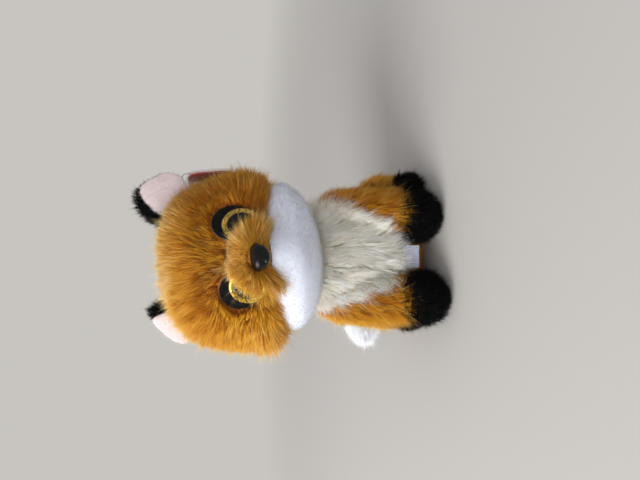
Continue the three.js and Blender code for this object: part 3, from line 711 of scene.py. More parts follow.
@dataclass(frozen=True)
class Pile:
    """The pile of one fabric. Angles are from the skin: a fibre leaves it at rise and ends at lie."""

    length: float
    per_square: float
    width: float
    rise: float = 62.0
    lie: float = 18.0
    uneven: float = 0.22
    wander: float = 9.0
    swirl: float = 14.0
    curl: float = 0.3
    stray: float = 0.07
    knots: int = 3
    locks: Sequence[Locks] = (Locks(1.4, 0.2), Locks(4.5, 0.15))
    spread: float = 9.0
    swirl_size: float = 10.0
    stray_droop: float = 8.0
    stray_length: float = 1.3
    stray_tone: float = 0.3
    tone_spread: float = 0.05
    lock_tone: float = 0.03
    lock_reach: float = 2.5

    def grow(
        self,
        bed: Bed,
        flow: Array,
        tones: Array,
        reach: Array | float = 1.0,
        seed: int = 1,
        press: Array | float = 0.0,
    ) -> Fibres:
        """Grows one fibre from each place of a bed.

        A fibre is an arc: its direction at share t makes the angle rise + (lie - rise) t with the skin,
        in the plane of the skin's normal and the flow, and it sways sideways by curl sin(2 pi(t + phase)).
        The tips of a lock are then drawn towards its first fibre by gather t^1.5.
        Stray fibres are longer and paler, and stand up.

        Args:
            bed: where the fibres are rooted.
            flow: the way that the pile lies, one for all or one at each place.
            tones: from 0, dark, to 1, pale, at each place.
            reach: what each length is multiplied by.
            seed: picks the differences between fibres.
            press: the share by which both angles are lowered.

        Returns:
            The fibres.
        """
        rng = np.random.default_rng(seed)
        count = len(bed.points)
        normals = bed.normals
        flat = unit(flow - normals * dot(flow, normals))
        swirl = self.swirl * ripples(bed.points, self.swirl_size, seed)
        sway = np.radians(rng.normal(0, self.wander, count) + swirl)
        cross = np.cross(normals, flat)
        flat = flat * np.cos(sway)[:, None] + cross * np.sin(sway)[:, None]
        cross = np.cross(normals, flat)
        stray = rng.random(count) < self.stray
        rise = self.rise * (1 - press) + rng.normal(0, self.spread, count)
        lie = self.lie * (1 - press) + rng.normal(0, self.spread, count)
        lie = np.where(stray, rise - self.stray_droop, lie)
        length = self.length * reach * (1 + self.uneven * rng.uniform(-1, 1, count))
        length = length * np.where(stray, self.stray_length, 1)
        steps = self.knots - 1
        t = (np.arange(steps) + 0.5) / steps
        angle = np.radians(rise[:, None] + (lie - rise)[:, None] * t[None])
        along = normals[:, None] * np.sin(angle)[..., None] + flat[:, None] * np.cos(angle)[..., None]
        walk = np.cumsum(along * (length / steps)[:, None, None], axis=1)
        ends = (np.arange(steps) + 1) / steps
        phase = rng.random(count)
        swing = np.sin(2 * np.pi * (ends[None] * 0.8 + phase[:, None])) - np.sin(2 * np.pi * phase)[:, None]
        walk = walk + cross[:, None] * (self.curl * swing * ends[None])[..., None]
        lines = bed.points[:, None] + np.concatenate([np.zeros((count, 1, 3)), walk], axis=1)
        tones = tones + rng.normal(0, self.tone_spread, count) + self.stray_tone * stray
        t = np.arange(self.knots) / steps
        for lock in self.locks:
            most = int(count / (self.per_square * lock.spacing**2))
            heads = rng.choice(count, max(1, most), replace=False)
            own = heads[nearest(lines[:, 1], lines[heads, 1])]
            pull = lock.gather * rng.uniform(0.6, 1.0, count) * ~stray
            offset = lines[own] - lines
            reachable = lengths(offset[:, 0]) < self.lock_reach * lock.spacing
            lines = lines + offset * ((pull * reachable)[:, None] * t[None] ** 1.5)[..., None]
            tones = tones + rng.normal(0, self.lock_tone, count)[own]
        return Fibres(lines, self.width * rng.uniform(0.75, 1.2, count), np.clip(tones, 0.0, 1.0))


def srgb(red: int, green: int, blue: int) -> Colour:
    """Returns a colour as it looks, in 0 to 255, as the linear values that a shader takes."""
    shares = [value / 255 for value in (red, green, blue)]
    return tuple(s / 12.92 if s <= 0.04045 else ((s + 0.055) / 1.055) ** 2.4 for s in shares)


def give(tree: bpy.types.NodeTree, target: Socket, value: object) -> None:
    """Joins an output to an input, or sets the input's own value, with an alpha of 1 after a colour.

    Args:
        tree: the nodes.
        target: the input.
        value: an output, or the input's value.
    """
    if isinstance(value, Socket):
        tree.links.new(value, target)
    else:
        target.default_value = (*value, 1.0) if target.type == "RGBA" and len(value) == 3 else value


def new_node(tree: bpy.types.NodeTree, kind: str, *inputs: Socket, **values: object) -> bpy.types.Node:
    """Adds a node.

    Args:
        tree: the nodes that it joins.
        kind: its type, without the word ShaderNode.
        inputs: what its first inputs are joined to.
        values: its other inputs and its properties by name, with _ for a space.

    Returns:
        The node.
    """
    node = tree.nodes.new("ShaderNode" + kind)
    for place, value in enumerate(inputs):
        give(tree, node.inputs[place], value)
    for name, value in values.items():
        socket = name.replace("_", " ")
        if socket in node.inputs:
            give(tree, node.inputs[socket], value)
        else:
            setattr(node, name, value)
    return node


def dye(*stops: tuple[float, int, int, int]) -> Stops:
    """Returns a ramp's stops, each given as its place and a colour in 0 to 255."""
    return tuple((place, srgb(*colour)) for place, *colour in stops)


class Shader:
    """A new material with a Principled shader, and short ways to add nodes to it."""

    def __init__(self, name: str, **values: object) -> None:
        """Makes the material.

        Args:
            name: the material's name.
            values: the shader's own values by socket, with _ for a space.
        """
        self.material = bpy.data.materials.new(name)
        self.material.use_nodes = True
        self.tree = self.material.node_tree
        self.surface = next(n for n in self.tree.nodes if n.type == "BSDF_PRINCIPLED")
        self.output = next(n for n in self.tree.nodes if n.type == "OUTPUT_MATERIAL")
        self.give(**values)

    def give(self, **values: object) -> None:
        """Sets the shader's own values by socket, or joins outputs to them."""
        for socket, value in values.items():
            give(self.tree, self.surface.inputs[socket.replace("_", " ")], value)

    def add(self, kind: str, *inputs: Socket, **values: object) -> bpy.types.Node:
        """Adds a node of a kind, with its first inputs joined and others set by name."""
        return new_node(self.tree, kind, *inputs, **values)

    def show(self, node: bpy.types.Node) -> Material:
        """Returns the material, with a node's output as its surface."""
        give(self.tree, self.output.inputs["Surface"], node.outputs[0])
        return self.material

    def ramp(self, value: Socket, stops: Stops) -> Socket:
        """Adds a ramp of colours.

        Args:
            value: where it is read.
            stops: its places and colours.

        Returns:
            The colour.
        """
        node = self.add("ValToRGB", value)
        held = node.color_ramp.elements
        while len(held) < len(stops):
            held.new(0.5)
        for stop, (place, colour) in zip(held, stops):
            stop.position = place
            stop.color = (*colour, 1.0)
        return node.outputs["Color"]

    def mapped(self, value: Socket, **values: object) -> Socket:
        """Returns a value mapped from one range to another, set by the node's own names."""
        return self.add("MapRange", value, **values).outputs["Result"]

    def mixed(self, share: Socket, low: Socket, high: Socket) -> Socket:
        """Mixes two colours.

        Args:
            share: how much there is of the second.
            low: the first.
            high: the second.

        Returns:
            The mixed colour.
        """
        node = self.add("Mix", share, data_type="RGBA")
        for colour, place in ((low, 6), (high, 7)):
            give(self.tree, node.inputs[place], colour)
        return node.outputs[2]

    def on_piece(self, kind: str, **values: object) -> bpy.types.Node:
        """Adds a pattern over the piece's own coordinates, its Scale in cells a metre."""
        return self.add(kind, Vector=self.add("TexCoord").outputs["Object"], **values)

    def noise(self, scale: float, detail: float = 3.0) -> Socket:
        """Returns noise over the piece."""
        return self.on_piece("TexNoise", Scale=scale, Detail=detail).outputs["Fac"]

    def bump(self, height: Socket, strength: float, distance: float) -> None:
        """Roughens the shader's surface by a height, at most distance metres deep."""
        node = self.add("Bump", Height=height, Strength=strength, Distance=distance)
        self.give(Normal=node.outputs["Normal"])


@dataclass(frozen=True)
class FibreFinish:
    """The dye of a pile. Each ramp runs over the fibres' tones, from dark to pale."""

    name: str
    slot: str
    roots: Stops
    tips: Stops
    turn: Pair = (0.0, 0.7)
    roughness: float = 0.7
    sheen: float = 0.06
    glow: float = 0.5

    def material(self) -> Material:
        """Makes the fibres' material: the root's colour turns into the tip's along each fibre.

        Returns:
            The material.
        """
        made = Shader(
            self.name,
            Roughness=self.roughness,
            Sheen_Weight=self.sheen,
            Sheen_Roughness=0.4,
            Specular_IOR_Level=0.12,
            Subsurface_Weight=self.glow,
            Subsurface_Radius=(1.0, 0.55, 0.3),
            Subsurface_Scale=0.001,
        )
        uv = made.add("UVMap", uv_map="OFBake").outputs["UV"]
        tone, share = made.add("SeparateXYZ", uv).outputs[:2]
        start, end = self.turn
        along = made.mapped(share, interpolation_type="SMOOTHSTEP", From_Min=start, From_Max=end)
        colour = made.mixed(along, made.ramp(tone, self.roots), made.ramp(tone, self.tips))
        duller = min(1.0, self.roughness + 0.2)
        made.give(Base_Color=colour, Roughness=made.mapped(share, To_Min=duller, To_Max=self.roughness))
        return made.material


@dataclass(frozen=True)
class ClothFinish:
    """A woven or pressed fabric seen close: two colours in fine noise, and a bump of its threads."""

    name: str
    slot: str
    dark: Colour
    pale: Colour
    grain: float = 1400.0
    depth: float = 0.0003
    roughness: float = 0.9

    def material(self) -> Material:
        """Makes the fabric's material.

        Returns:
            The material.
        """
        made = Shader(self.name, Roughness=self.roughness, Sheen_Weight=0.3, Specular_IOR_Level=0.2)
        grain = made.noise(self.grain)
        made.give(Base_Color=made.ramp(grain, ((0.3, self.dark), (0.7, self.pale))))
        made.bump(grain, 0.5, self.depth)
        return made.material


@dataclass(frozen=True)
class GlossFinish:
    """Moulded plastic with a polish, faint waves and fine dust."""

    name: str
    slot: str
    colour: Colour
    roughness: float = 0.14
    shine: float = 0.5
    dust: float = 0.25

    def material(self) -> Material:
        """Makes the plastic's material.

        Returns:
            The material.
        """
        made = Shader(self.name, Base_Color=self.colour, Specular_IOR_Level=self.shine)
        ends = {"To_Min": self.roughness, "To_Max": self.roughness + self.dust}
        made.give(Roughness=made.mapped(made.noise(900.0, 4.0), From_Min=0.45, From_Max=0.75, **ends))
        made.bump(made.noise(160.0, 1.0), 0.12, 0.0004)
        return made.material


@dataclass(frozen=True)
class GlitterFinish:
    """Metal flakes set in lacquer: each cell has its own slant, and is painted its own brightness from dark
    to pale, painted glints for flakes that catch the light or not.
    """

    name: str
    slot: str
    dark: Colour
    pale: Colour
    cells: float = 3600.0

    def material(self) -> Material:
        """Makes the glitter's material.

        Returns:
            The material.
        """
        made = Shader(self.name, Metallic=0.7, Roughness=0.3, Coat_Weight=0.7)
        flakes = made.on_piece("TexVoronoi", Scale=self.cells)
        parts = made.add("SeparateColor", flakes.outputs["Color"])
        # Painted glints: each flake's cell gets its own brightness between dark and pale gold.
        made.give(Base_Color=made.ramp(parts.outputs[0], ((0.1, self.dark), (0.9, self.pale))))
        made.bump(parts.outputs[1], 0.8, 0.0003)
        return made.material


@dataclass(frozen=True)
class ClearFinish:
    """Clear plastic that shows what is behind it straight through, with a gloss that grows at its edges."""

    name: str
    slot: str
    tint: Colour
    gloss: float = 0.003
    edge_gloss: float = 0.1
    roughness: float = 0.05

    def material(self) -> Material:
        """Makes the clear material: a see-through shader under a glossy one, by how edge-on it is seen.

        Returns:
            The material.
        """
        made = Shader(self.name)
        through = made.add("BsdfTransparent", Color=self.tint)
        shine = made.add("BsdfGlossy", Roughness=self.roughness)
        edge = made.add("LayerWeight", Blend=0.2)
        share = made.mapped(edge.outputs["Facing"], To_Min=self.gloss, To_Max=self.gloss + self.edge_gloss)
        made.tree.nodes.remove(made.surface)
        return made.show(made.add("MixShader", share, through.outputs[0], shine.outputs[0]))


ORANGE_FIBRES = FibreFinish(
    "orange_fibres",
    "orange_plush",
    roots=dye((0.0, 122, 54, 4), (0.5, 190, 96, 8), (1.0, 212, 126, 26)),
    tips=dye((0.0, 140, 66, 5), (0.35, 196, 104, 10), (0.65, 218, 136, 26), (1.0, 242, 190, 98)),
)
GOLD_FIBRES = FibreFinish(
    "gold_fibres",
    "gold_plush",
    roots=dye((0.0, 130, 64, 6), (1.0, 204, 124, 28)),
    tips=dye((0.0, 156, 82, 10), (0.5, 212, 134, 30), (1.0, 244, 200, 112)),
)
# The jowl's white plush, dimmed below its own white: painted shade that holds back its brightly lit front.
DIMMED_WHITE_FIBRES = FibreFinish(
    "white_fibres",
    "white_plush",
    roots=dye((0.0, 200, 204, 217), (1.0, 212, 216, 227)),
    tips=dye((0.0, 206, 210, 223), (1.0, 222, 225, 234)),
)
# The tail tip's white plush, a lighter copy of the jowl's: painted light on a tip that lies in shade.
LIGHTENED_TIP_FIBRES = FibreFinish(
    "tail_tip_fibres",
    "white_plush",
    roots=dye((0.0, 236, 237, 242), (1.0, 246, 246, 249)),
    tips=dye((0.0, 244, 245, 249), (1.0, 255, 255, 255)),
    glow=0.7,
)
CREAM_FIBRES = FibreFinish(
    "cream_fibres",
    "cream_plush",
    roots=dye((0.0, 238, 224, 190), (1.0, 252, 243, 220)),
    tips=dye((0.0, 246, 236, 210), (0.5, 255, 249, 233), (1.0, 255, 253, 246)),
)
BLACK_FIBRES = FibreFinish(
    "black_fibres",
    "black_plush",
    roots=dye((0.0, 2, 2, 2), (1.0, 5, 5, 6)),
    tips=dye((0.0, 3, 3, 3), (1.0, 15, 14, 15)),
    sheen=0.0,
    glow=0.0,
)
PINK_FIBRES = FibreFinish(
    "pink_fibres",
    "pink_plush",
    roots=dye((0.0, 204, 186, 187), (1.0, 216, 200, 200)),
    tips=dye((0.0, 210, 194, 194), (1.0, 226, 214, 213)),
)
ORANGE_BACKING = ClothFinish("orange_backing", "orange_plush", srgb(120, 64, 12), srgb(168, 98, 24))
GOLD_BACKING = ClothFinish("gold_backing", "gold_plush", srgb(120, 68, 18), srgb(176, 112, 40))
# The white backing is dimmed along with the jowl's pile, a painted shade against the jowl's strong light; it
# lies under the tail tip too.
WHITE_BACKING = ClothFinish(
    "white_backing", "white_plush", srgb(196, 200, 213), srgb(207, 211, 222), 1400.0, 0.0001
)
CREAM_BACKING = ClothFinish("cream_backing", "cream_plush", srgb(218, 212, 180), srgb(244, 240, 222))
BLACK_BACKING = ClothFinish("black_backing", "black_plush", srgb(5, 5, 6), srgb(16, 15, 16))
PINK_BACKING = ClothFinish(
    "pink_backing", "pink_plush", srgb(204, 186, 187), srgb(216, 200, 200), 1400.0, 0.0001
)
FELT_NAP = FibreFinish(
    "felt_nap",
    "black_felt",
    roots=dye((0.0, 4, 4, 5), (1.0, 8, 8, 9)),
    tips=dye((0.0, 8, 8, 8), (1.0, 24, 22, 22)),
    sheen=0.0,
    glow=0.0,
)
GOLD_FLAKE = GlitterFinish("gold_flake", "gold_glitter", srgb(84, 60, 5), srgb(255, 218, 84), 1700.0)
BLACK_FELT = ClothFinish("pressed_felt", "black_felt", srgb(8, 8, 9), srgb(26, 24, 24), 2600.0, 0.0002)
FILLING = ClothFinish(
    "filling_fibre", "polyester_filling", srgb(226, 224, 218), srgb(246, 245, 240), 420.0, 0.001
)
PELLET_BAG = ClothFinish(
    "pellet_bag", "plastic_pellets", srgb(196, 190, 176), srgb(226, 222, 210), 600.0, 0.0012
)
BLACK_GLOSS = GlossFinish("moulded_black", "black_gloss", srgb(5, 5, 6), 0.28, 0.25)
PUPIL_BLACK = GlossFinish("pupil_black", "black_gloss", srgb(2, 2, 2), 0.6, 0.05)
NYLON = GlossFinish("nylon_wire", "nylon", srgb(228, 228, 226), 0.35, 0.1)
GOLD_GLITTER = GlitterFinish("glitter_lacquer", "gold_glitter", srgb(70, 50, 4), srgb(236, 190, 46), 1500.0)
CLEAR_LENS = ClearFinish("clear_dome", "clear_lens", (0.97, 0.97, 0.97))
CLEAR_SLEEVE = ClearFinish("clear_film", "clear_sleeve", (0.94, 0.95, 0.96), 0.05, 0.3, 0.15)
RED_CARD = ClothFinish("coated_card", "red_card", srgb(190, 58, 50), srgb(200, 68, 60), 500.0, 0.0001, 0.45)
# Grey-lilac satin, its pale colour darkened by painted shade for where the label hangs between the paws.
SHADED_SATIN = ClothFinish("woven_satin", "satin", srgb(150, 152, 170), srgb(176, 178, 195), 2200.0, 0.0001, 0.4)

BACKDROP = srgb(200, 197, 192)

Finish = FibreFinish | ClothFinish | GlossFinish | GlitterFinish | ClearFinish


def material_of(finish: Finish) -> Material:
    """Returns a finish's material, which is made when it is first asked for."""
    return bpy.data.materials.get(finish.name) or finish.material()


def add_piece(
    name: str,
    mesh: bpy.types.Mesh,
    finish: Finish,
    body: str,
    nodes: Sequence[str] = (),
) -> bpy.types.Object:
    """Puts a mesh into the scene as a piece of the fox.

    Args:
        name: the piece's name.
        mesh: its mesh, in metres in the fox's axes.
        finish: its finish.
        body: the body that it moves with.
        nodes: the nodes that it stands for.

    Returns:
        The new object.
    """
    piece = bpy.data.objects.new(name, mesh)
    bpy.context.scene.collection.objects.link(piece)
    mesh.materials.append(material_of(finish))
    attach(piece, body)
    if nodes:
        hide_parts(*nodes)
    log.info("%s: %d faces, on %s", name, len(mesh.polygons), body)
    return piece


def add_solid(
    name: str, solid: Solid, finish: Finish, body: str, node: str
) -> bpy.types.Object:
    """Puts in a solid in place of a node, shaded smooth but for its cut edges.

    Args:
        name: the piece's name.
        solid: its shape.
        finish: its finish.
        body: the body that it moves with.
        node: the node that it stands for.

    Returns:
        The new object.
    """
    mesh = solid.mesh(name, MM)
    mesh.shade_smooth()
    mesh.set_sharp_from_angle(angle=math.radians(SHARP_DEGREES))
    return add_piece(name, mesh, finish, body, [node])


def add_cover(name: str, solid: Solid, finish: Finish, body: str, node: str) -> None:
    """Puts in a stuffed piece in place of a soft node."""
    add_solid(name, solid, finish, body, node)


def add_leg(leg: str, paw: str, cover: Solid, sock: Solid, stuffing: Solid) -> None:
    """Puts in a leg's two covers and its filling.

    Args:
        leg: the name of the leg and of its body.
        paw: the paw's name.
        cover: the orange cover.
        sock: the black paw cover.
        stuffing: the filling.
    """
    add_cover(f"{leg}_skin", cover, ORANGE_BACKING, leg, f"{leg}_cover")
    add_cover(f"{paw}_skin", sock, BLACK_BACKING, leg, f"{paw}_cover")
    add_cover(f"{leg}_stuffing", stuffing, FILLING, leg, f"{leg}_filling")


def add_coat(name: str, fibres: Fibres, finish: FibreFinish, body: str) -> None:
    """Puts in a coat of fibres."""
    add_piece(name, fibres.mesh(name), finish, body)


def above_floor(points: Array, floor: float = 0.15) -> Array:
    """Lifts points that lie under a height to it.

    Args:
        points: places in the fox's axes.
        floor: the height.

    Returns:
        The points, lifted or not.
    """
    lifted = points.copy()
    lifted[:, 2] = np.maximum(lifted[:, 2], floor)
    return lifted


def ahead_of(points: Array, form: StuffedForm, clear: float, step: float = 0.8, count: int = 10) -> Array:
    """Moves points that lie inside a form ahead, by short steps, until they are outside it.

    Args:
        points: places in the fox's axes.
        form: what they are kept out of.
        clear: how far outside it they end at least.
        step: how far they go at a time.
        count: the most steps that a point takes.

    Returns:
        The points, moved or not.
    """
    moved = points.copy()
    for _ in range(count):
        moved[form.level(moved, -clear) < 1, 1] -= step
    return moved


UNDER_FLOOR = Solid.half_space((0, 0, 0), (0, 0, -1))
DOWN = np.array([0.0, 0.0, -1.0])
AHEAD = np.array([0.0, -1.0, 0.0])
ACROSS = np.array([1.0, 0.0, 0.0])
SIDES = (("left", 1), ("right", -1))


@dataclass
class Head:
    """The head's covers, filling and pile, and where its eyes and nose sit.

    A form's stand holds its place across and along, its bottom and its height, in the head's frame.
    """

    tilt: float = 6.0
    turn: float = 6.0
    turns: tuple[float, ...] = (-20.0, 0.0, 15.0)
    tilts: tuple[float, ...] = (-12.0, 0.0, 8.0)
    width: float = 88.0
    depth: float = 68.0
    height: float = 66.5
    rise: float = 4.0
    forward: float = 7.0
    jowl_stand: tuple[float, ...] = (0.0, -18.0, -8.5, 34.0)
    jowl_size: Pair = (72.0, 52.0)
    lip_stand: tuple[float, ...] = (0.0, -36.0, 1.5, 25.0)
    lip_size: Pair = (28.0, 27.0)
    lip_outline: Pair = (15.0, 14.0)
    lip_fade: Pair = (-1.15, -0.45)
    lip_blend: float = 1.6
    lip_softening: int = 5
    lip_low: float = 18.7
    lip_low_across: float = 4.4
    lip_slope: float = 0.36
    muzzle_stand: tuple[float, ...] = (0.0, -37.0, 19.0, 22.0)
    muzzle_size: Pair = (33.0, 36.0)
    puff_depth: float = 3.0
    puff_edges: tuple[Pair, ...] = ((36.0, -1.2), (49.0, 2.8))
    nose_spot: Pair = (-1.2, 26.9)
    nose_seat: float = 2.2
    neck_size: float = 22.0
    socket_size: float = 23.0
    seam_back: float = 5.0
    eyes_across: Pair = (13.8, 11.3)
    eye_rise: float = 31.5
    eye_yaw: float = 29.0
    eye_pitch: float = 6.0
    eye_seat: float = 1.8
    eye_radius: float = 8.7
    eye_room: tuple[float, float, float] = (9.0, -2.0, 7.4)
    eye_dome: tuple[float, float, float] = (9.2, 3.5, 3.9)
    patch_out: float = 3.2
    patch_up: float = 3.6
    patch_radius: float = 9.7
    patch_depth: float = 2.3
    patch_near: float = 16.0
    patch_slope: float = 1.1

    def __post_init__(self) -> None:
        """Works out the head's frame and its four forms."""
        turned = turning("Z", self.turn) @ turning("Y", -self.tilt)
        place = self.place = Place(turned, joint_place("head_turn"))
        self.skull = StuffedForm(
            upright(0, -self.forward, self.rise, self.height),
            self.width,
            self.depth,
            (1.2, 1.14, 1.03, 0.98, 0.96, 0.95),
            (1.0, 1.04, 1.02, 1.0, 0.98, 0.94),
            squareness=2.25,
            fullness=2.55,
            place=place,
        )
        cheeks = (0.86, 0.98, 1.04, 1.0, 0.9)
        self.jowl = StuffedForm(upright(*self.jowl_stand), *self.jowl_size, cheeks, place=place)
        self.lip = StuffedForm(upright(*self.lip_stand), *self.lip_size, place=place)
        swell = (0.94, 1.0, 1.0, 0.94)
        stand = upright(*self.muzzle_stand)
        self.muzzle = StuffedForm(stand, *self.muzzle_size, swell, (1.0, 1.0), place=place)
        across, rise = self.nose_spot
        sunk = self.nose_seat - float(self.muzzle.ahead(across, rise))
        self.nose_middle = place.points(np.array([across, sunk, rise]))

    def eye_place(self, side: int) -> Place:
        """Works out an eye's frame: +Z looks out of the eye, from where its patch lies.

        Args:
            side: 1 for the left eye, -1 for the right one.

        Returns:
            The frame.
        """
        across = self.eyes_across[side < 0]
        ahead = float(self.skull.ahead(across, self.eye_rise))
        faced = turning("Z", side * self.eye_yaw) @ turning("X", 90 - self.eye_pitch)
        return self.place.holding(faced, (side * across, self.eye_seat - ahead, self.eye_rise))

    def past_patch(self, points: Array, side: int) -> tuple[Array, Array]:
        """Works out how points lie against one eye and its patch.

        Args:
            points: places in the fox's axes.
            side: 1 for the left eye, -1 for the right one.

        Returns:
            The distance past the edge of the eye or its patch, seen along the eye's axis, negative
            over them, and the height above the patch's back.
        """
        local = self.eye_place(side).back(points)
        centre = np.array([side * self.patch_out, self.patch_up])
        patch = lengths(local[..., :2] - centre) - self.patch_radius
        eye = lengths(local[..., :2]) - self.eye_radius
        return np.minimum(patch, eye), local[..., 2]

    def from_patches(self, points: Array) -> Array:
        """Works out how far past the nearest eye or patch points of the face are.

        Args:
            points: places in the fox's axes.

        Returns:
            The distances, negative over an eye or a patch.
        """
        found = np.full(points.shape[:-1], FAR)
        for _, side in SIDES:
            past, height = self.past_patch(points, side)
            found = np.minimum(found, np.where(np.abs(height) < self.patch_near, past, FAR))
        return found

    def skin(self, around: int, along: int, deeper: float = 0.0) -> Array:
        """Works out the skull's fabric.

        Args:
            around: points in a ring.
            along: steps from one pole to the other.
            deeper: how far under the fabric's outside.

        Returns:
            Rings of points at the pile's depth under the form's outside, less round the eyes, and
            pressed in behind each patch.
        """
        outside = self.skull.grid(around, along)
        away = smooth(self.from_patches(outside), 0.0, 6.0)
        inset = self.patch_depth + (PILE_DEPTH - self.patch_depth) * away
        rings = self.skull.grid(around, along, inset + deeper)
        for _, side in SIDES:
            past, height = self.past_patch(rings, side)
            most = self.patch_slope * np.maximum(past - 0.4, 0) - GAP - deeper
            sunk = np.minimum(np.where(np.abs(height) < self.patch_near, most, FAR) - height, 0)
            rings = rings + sunk[..., None] * self.eye_place(side).turn[:, 2]
        return rings

    def chin(self, around: int, along: int, deeper: float = 0.0) -> Array:
        """Works out the jowl's fabric with the lip that swells out of its front.

        Args:
            around: points in a ring.
            along: steps from one pole to the other.
            deeper: how far under the fabric's outside.

        Returns:
            Rings of points on the jowl's form. Those in front are moved ahead by the smooth maximum
            k ln(1 + e^(d/k)) of 0 and d, the distance that the lip lies ahead of them, faded out at
            the lip's outline. Each distance is then evened out with its neighbours' a few times.
        """
        depth = SHORT_DEPTH + deeper
        local = self.place.back(self.jowl.grid(around, along, depth))
        ahead = self.lip.ahead(local[..., 0], local[..., 2]) - depth
        beyond = (ahead + local[..., 1]) / self.lip_blend
        out = self.lip_blend * np.log1p(np.exp(np.clip(beyond, -30, 30)))
        centre = self.lip.path.mean(axis=0)
        wide, tall = self.lip_outline
        off = ((local[..., 0] - centre[0]) / wide) ** 2 + ((local[..., 2] - centre[2]) / tall) ** 2
        out = out * (local[..., 1] < self.jowl_stand[1]) * smooth(-off, *self.lip_fade)
        for _ in range(self.lip_softening):
            out = (np.roll(out, 1, axis=1) + 2 * out + np.roll(out, -1, axis=1)) / 4
            ends = np.pad(out, ((1, 1), (0, 0)), mode="edge")
            out = (ends[:-2] + 2 * out + ends[2:]) / 4
        local[..., 1] -= out
        return self.place.points(local)

    def swept(self) -> list[Solid]:
        """Works out the spaces that the head's lower forms fill as the head turns and tilts.

        Returns:
            A solid for each form, at the ends and the middle of both joints' travel.
        """
        spaces = []
        for turn in self.turns:
            for tilt in self.tilts:
                moved = turning("Z", self.turn + turn) @ turning("Y", tilt - self.tilt)
                change = moved @ self.place.turn.T
                origin = self.place.origin
                for form in (self.skull, self.jowl):
                    solid = stuffed(form, -SWEEP_GAP, 32, 20)
                    spaces.append(solid.moved(lambda p, c=change: (p - origin) @ c.T + origin))
        return spaces

    def neck_ball(self, size: float) -> StuffedForm:
        """Returns a ball of a size about the neck's pivot."""
        return StuffedForm(upright(0, 0, -size / 2, size), size, size, fullness=2.0, place=self.place)

    def covers(self) -> None:
        """Builds the fabric shells and the filling inside them."""
        socket = stuffed(self.neck_ball(self.socket_size), 0.0, 32, 20)
        hollow = [
            Solid.from_rings(self.skin(72, 48, BACKING)),
            Solid.from_rings(self.chin(64, 44, BACKING)),
            stuffed(self.muzzle, SHORT_DEPTH + BACKING, 48, 32),
        ]
        shell = Solid.from_rings(self.skin(96, 64)).cut(*hollow, socket)
        for name, back, way in (
            ("face", self.seam_back, -AHEAD),
            ("back_of_head", self.seam_back + GAP, AHEAD),
        ):
            seam = self.place.points(np.array([0, back, 0]))
            half = shell.cut(Solid.half_space(seam, self.place.directions(way)))
            add_cover(f"{name}_skin", half, ORANGE_BACKING, "head", f"{name}_cover")
        outside = stuffed(self.skull, PILE_DEPTH - GAP)
        clear = [outside, *hollow[1:], socket, stuffed(self.muzzle, SHORT_DEPTH - GAP)]
        jowl = Solid.from_rings(self.chin(96, 64)).cut(*clear)
        add_cover("jowl_skin", jowl, WHITE_BACKING, "head", "jowl_panel")
        radius, low, high = self.eye_room
        room = [(0, low), (radius, low), (radius, high), (0, high)]
        rooms = [Solid.lathed(room, self.eye_place(side), 48) for _, side in SIDES]
        inside = stuffed(self.muzzle, self.puff_depth + BACKING)
        puff = stuffed(self.muzzle, self.puff_depth).cut(outside, inside, *rooms)
        add_cover("muzzle_skin", puff, GOLD_BACKING, "head", "muzzle_panel")
        stuffing = stuffed(self.skull, PILE_DEPTH + BACKING + GAP + 2.0, 48, 32).cut(socket)
        add_cover("head_stuffing", stuffing, FILLING, "head", "head_filling")
        ball = stuffed(self.neck_ball(self.neck_size), 0, 32, 20)
        add_cover("neck_stuffing", ball, FILLING, "neck", "neck_filling")

    def over_eyes(self, points: Array) -> Array:
        """Lifts points that lie inside an eye over its dome, which is a part of a ball.

        Args:
            points: places in the fox's axes.

        Returns:
            The points, lifted or not.
        """
        moved = points
        radius, foot, tall = self.eye_dome
        for _, side in SIDES:
            eye = self.eye_place(side)
            local = eye.back(moved)
            away = lengths(local[:, :2])
            cap = foot + tall * np.sqrt(np.clip(1 - (away / radius) ** 2, 0, 1))
            inside = (away < radius) & (local[:, 2] > -3) & (local[:, 2] < cap)
            local[inside, 2] = cap[inside]
            moved = np.where(inside[:, None], eye.points(local), moved)
        return moved

    def trimmed(self, fibres: Fibres, seed: int) -> Fibres:
        """Shortens the puff's fibres where they would cover more of an eye than they do.

        A fibre that ends over an eye is cut at a line across it, at an angle and a distance from the
        eye's middle. A few are let grow past the line.

        Args:
            fibres: the puff's fibres.
            seed: picks the ones that are let grow.

        Returns:
            The fibres, each drawn towards its root by the share that is cut.
        """
        rng = np.random.default_rng(seed)
        lines = fibres.lines
        for _, side in SIDES:
            angle, limit = self.puff_edges[side < 0]
            local = self.eye_place(side).back(lines)
            outward = np.array([side * math.cos(math.radians(angle)), math.sin(math.radians(angle)), 0.0])
            across = local @ outward
            over = (lengths(local[:, -1, :2]) < 16) & (np.abs(local[:, -1, 2]) < 18)
            allowed = limit - 0.8 + 4.0 * rng.random(len(lines)) ** 6 + rng.uniform(-0.8, 0.0, len(lines))
            share = (allowed - across[:, 0]) / np.maximum(across[:, -1] - across[:, 0], 0.1)
            share = np.where(over & (across[:, -1] > allowed), np.clip(share, 0.12, 1.0), 1.0)
            lines = lines[:, :1] + (lines - lines[:, :1]) * share[:, None, None]
        return Fibres(lines, fibres.widths, fibres.tones)

    def in_eyes(self, points: Array) -> Array:
        """Tells which points lie in the room of an eye.

        Args:
            points: places in the fox's axes.

        Returns:
            True for each that does.
        """
        inside = np.zeros(len(points), bool)
        for _, side in SIDES:
            local = self.eye_place(side).back(points)
            inside |= (lengths(local[:, :2]) < 9.0) & (local[:, 2] < 7.0) & (local[:, 2] > -6)
        return inside

    def above_lip(self, points: Array) -> Array:
        """Tells which points lie above the golden panel's lower edge, a shallow V under the nose."""
        local = self.place.back(points)
        return local[:, 2] > self.lip_low + self.lip_slope * np.abs(local[:, 0] - self.lip_low_across)

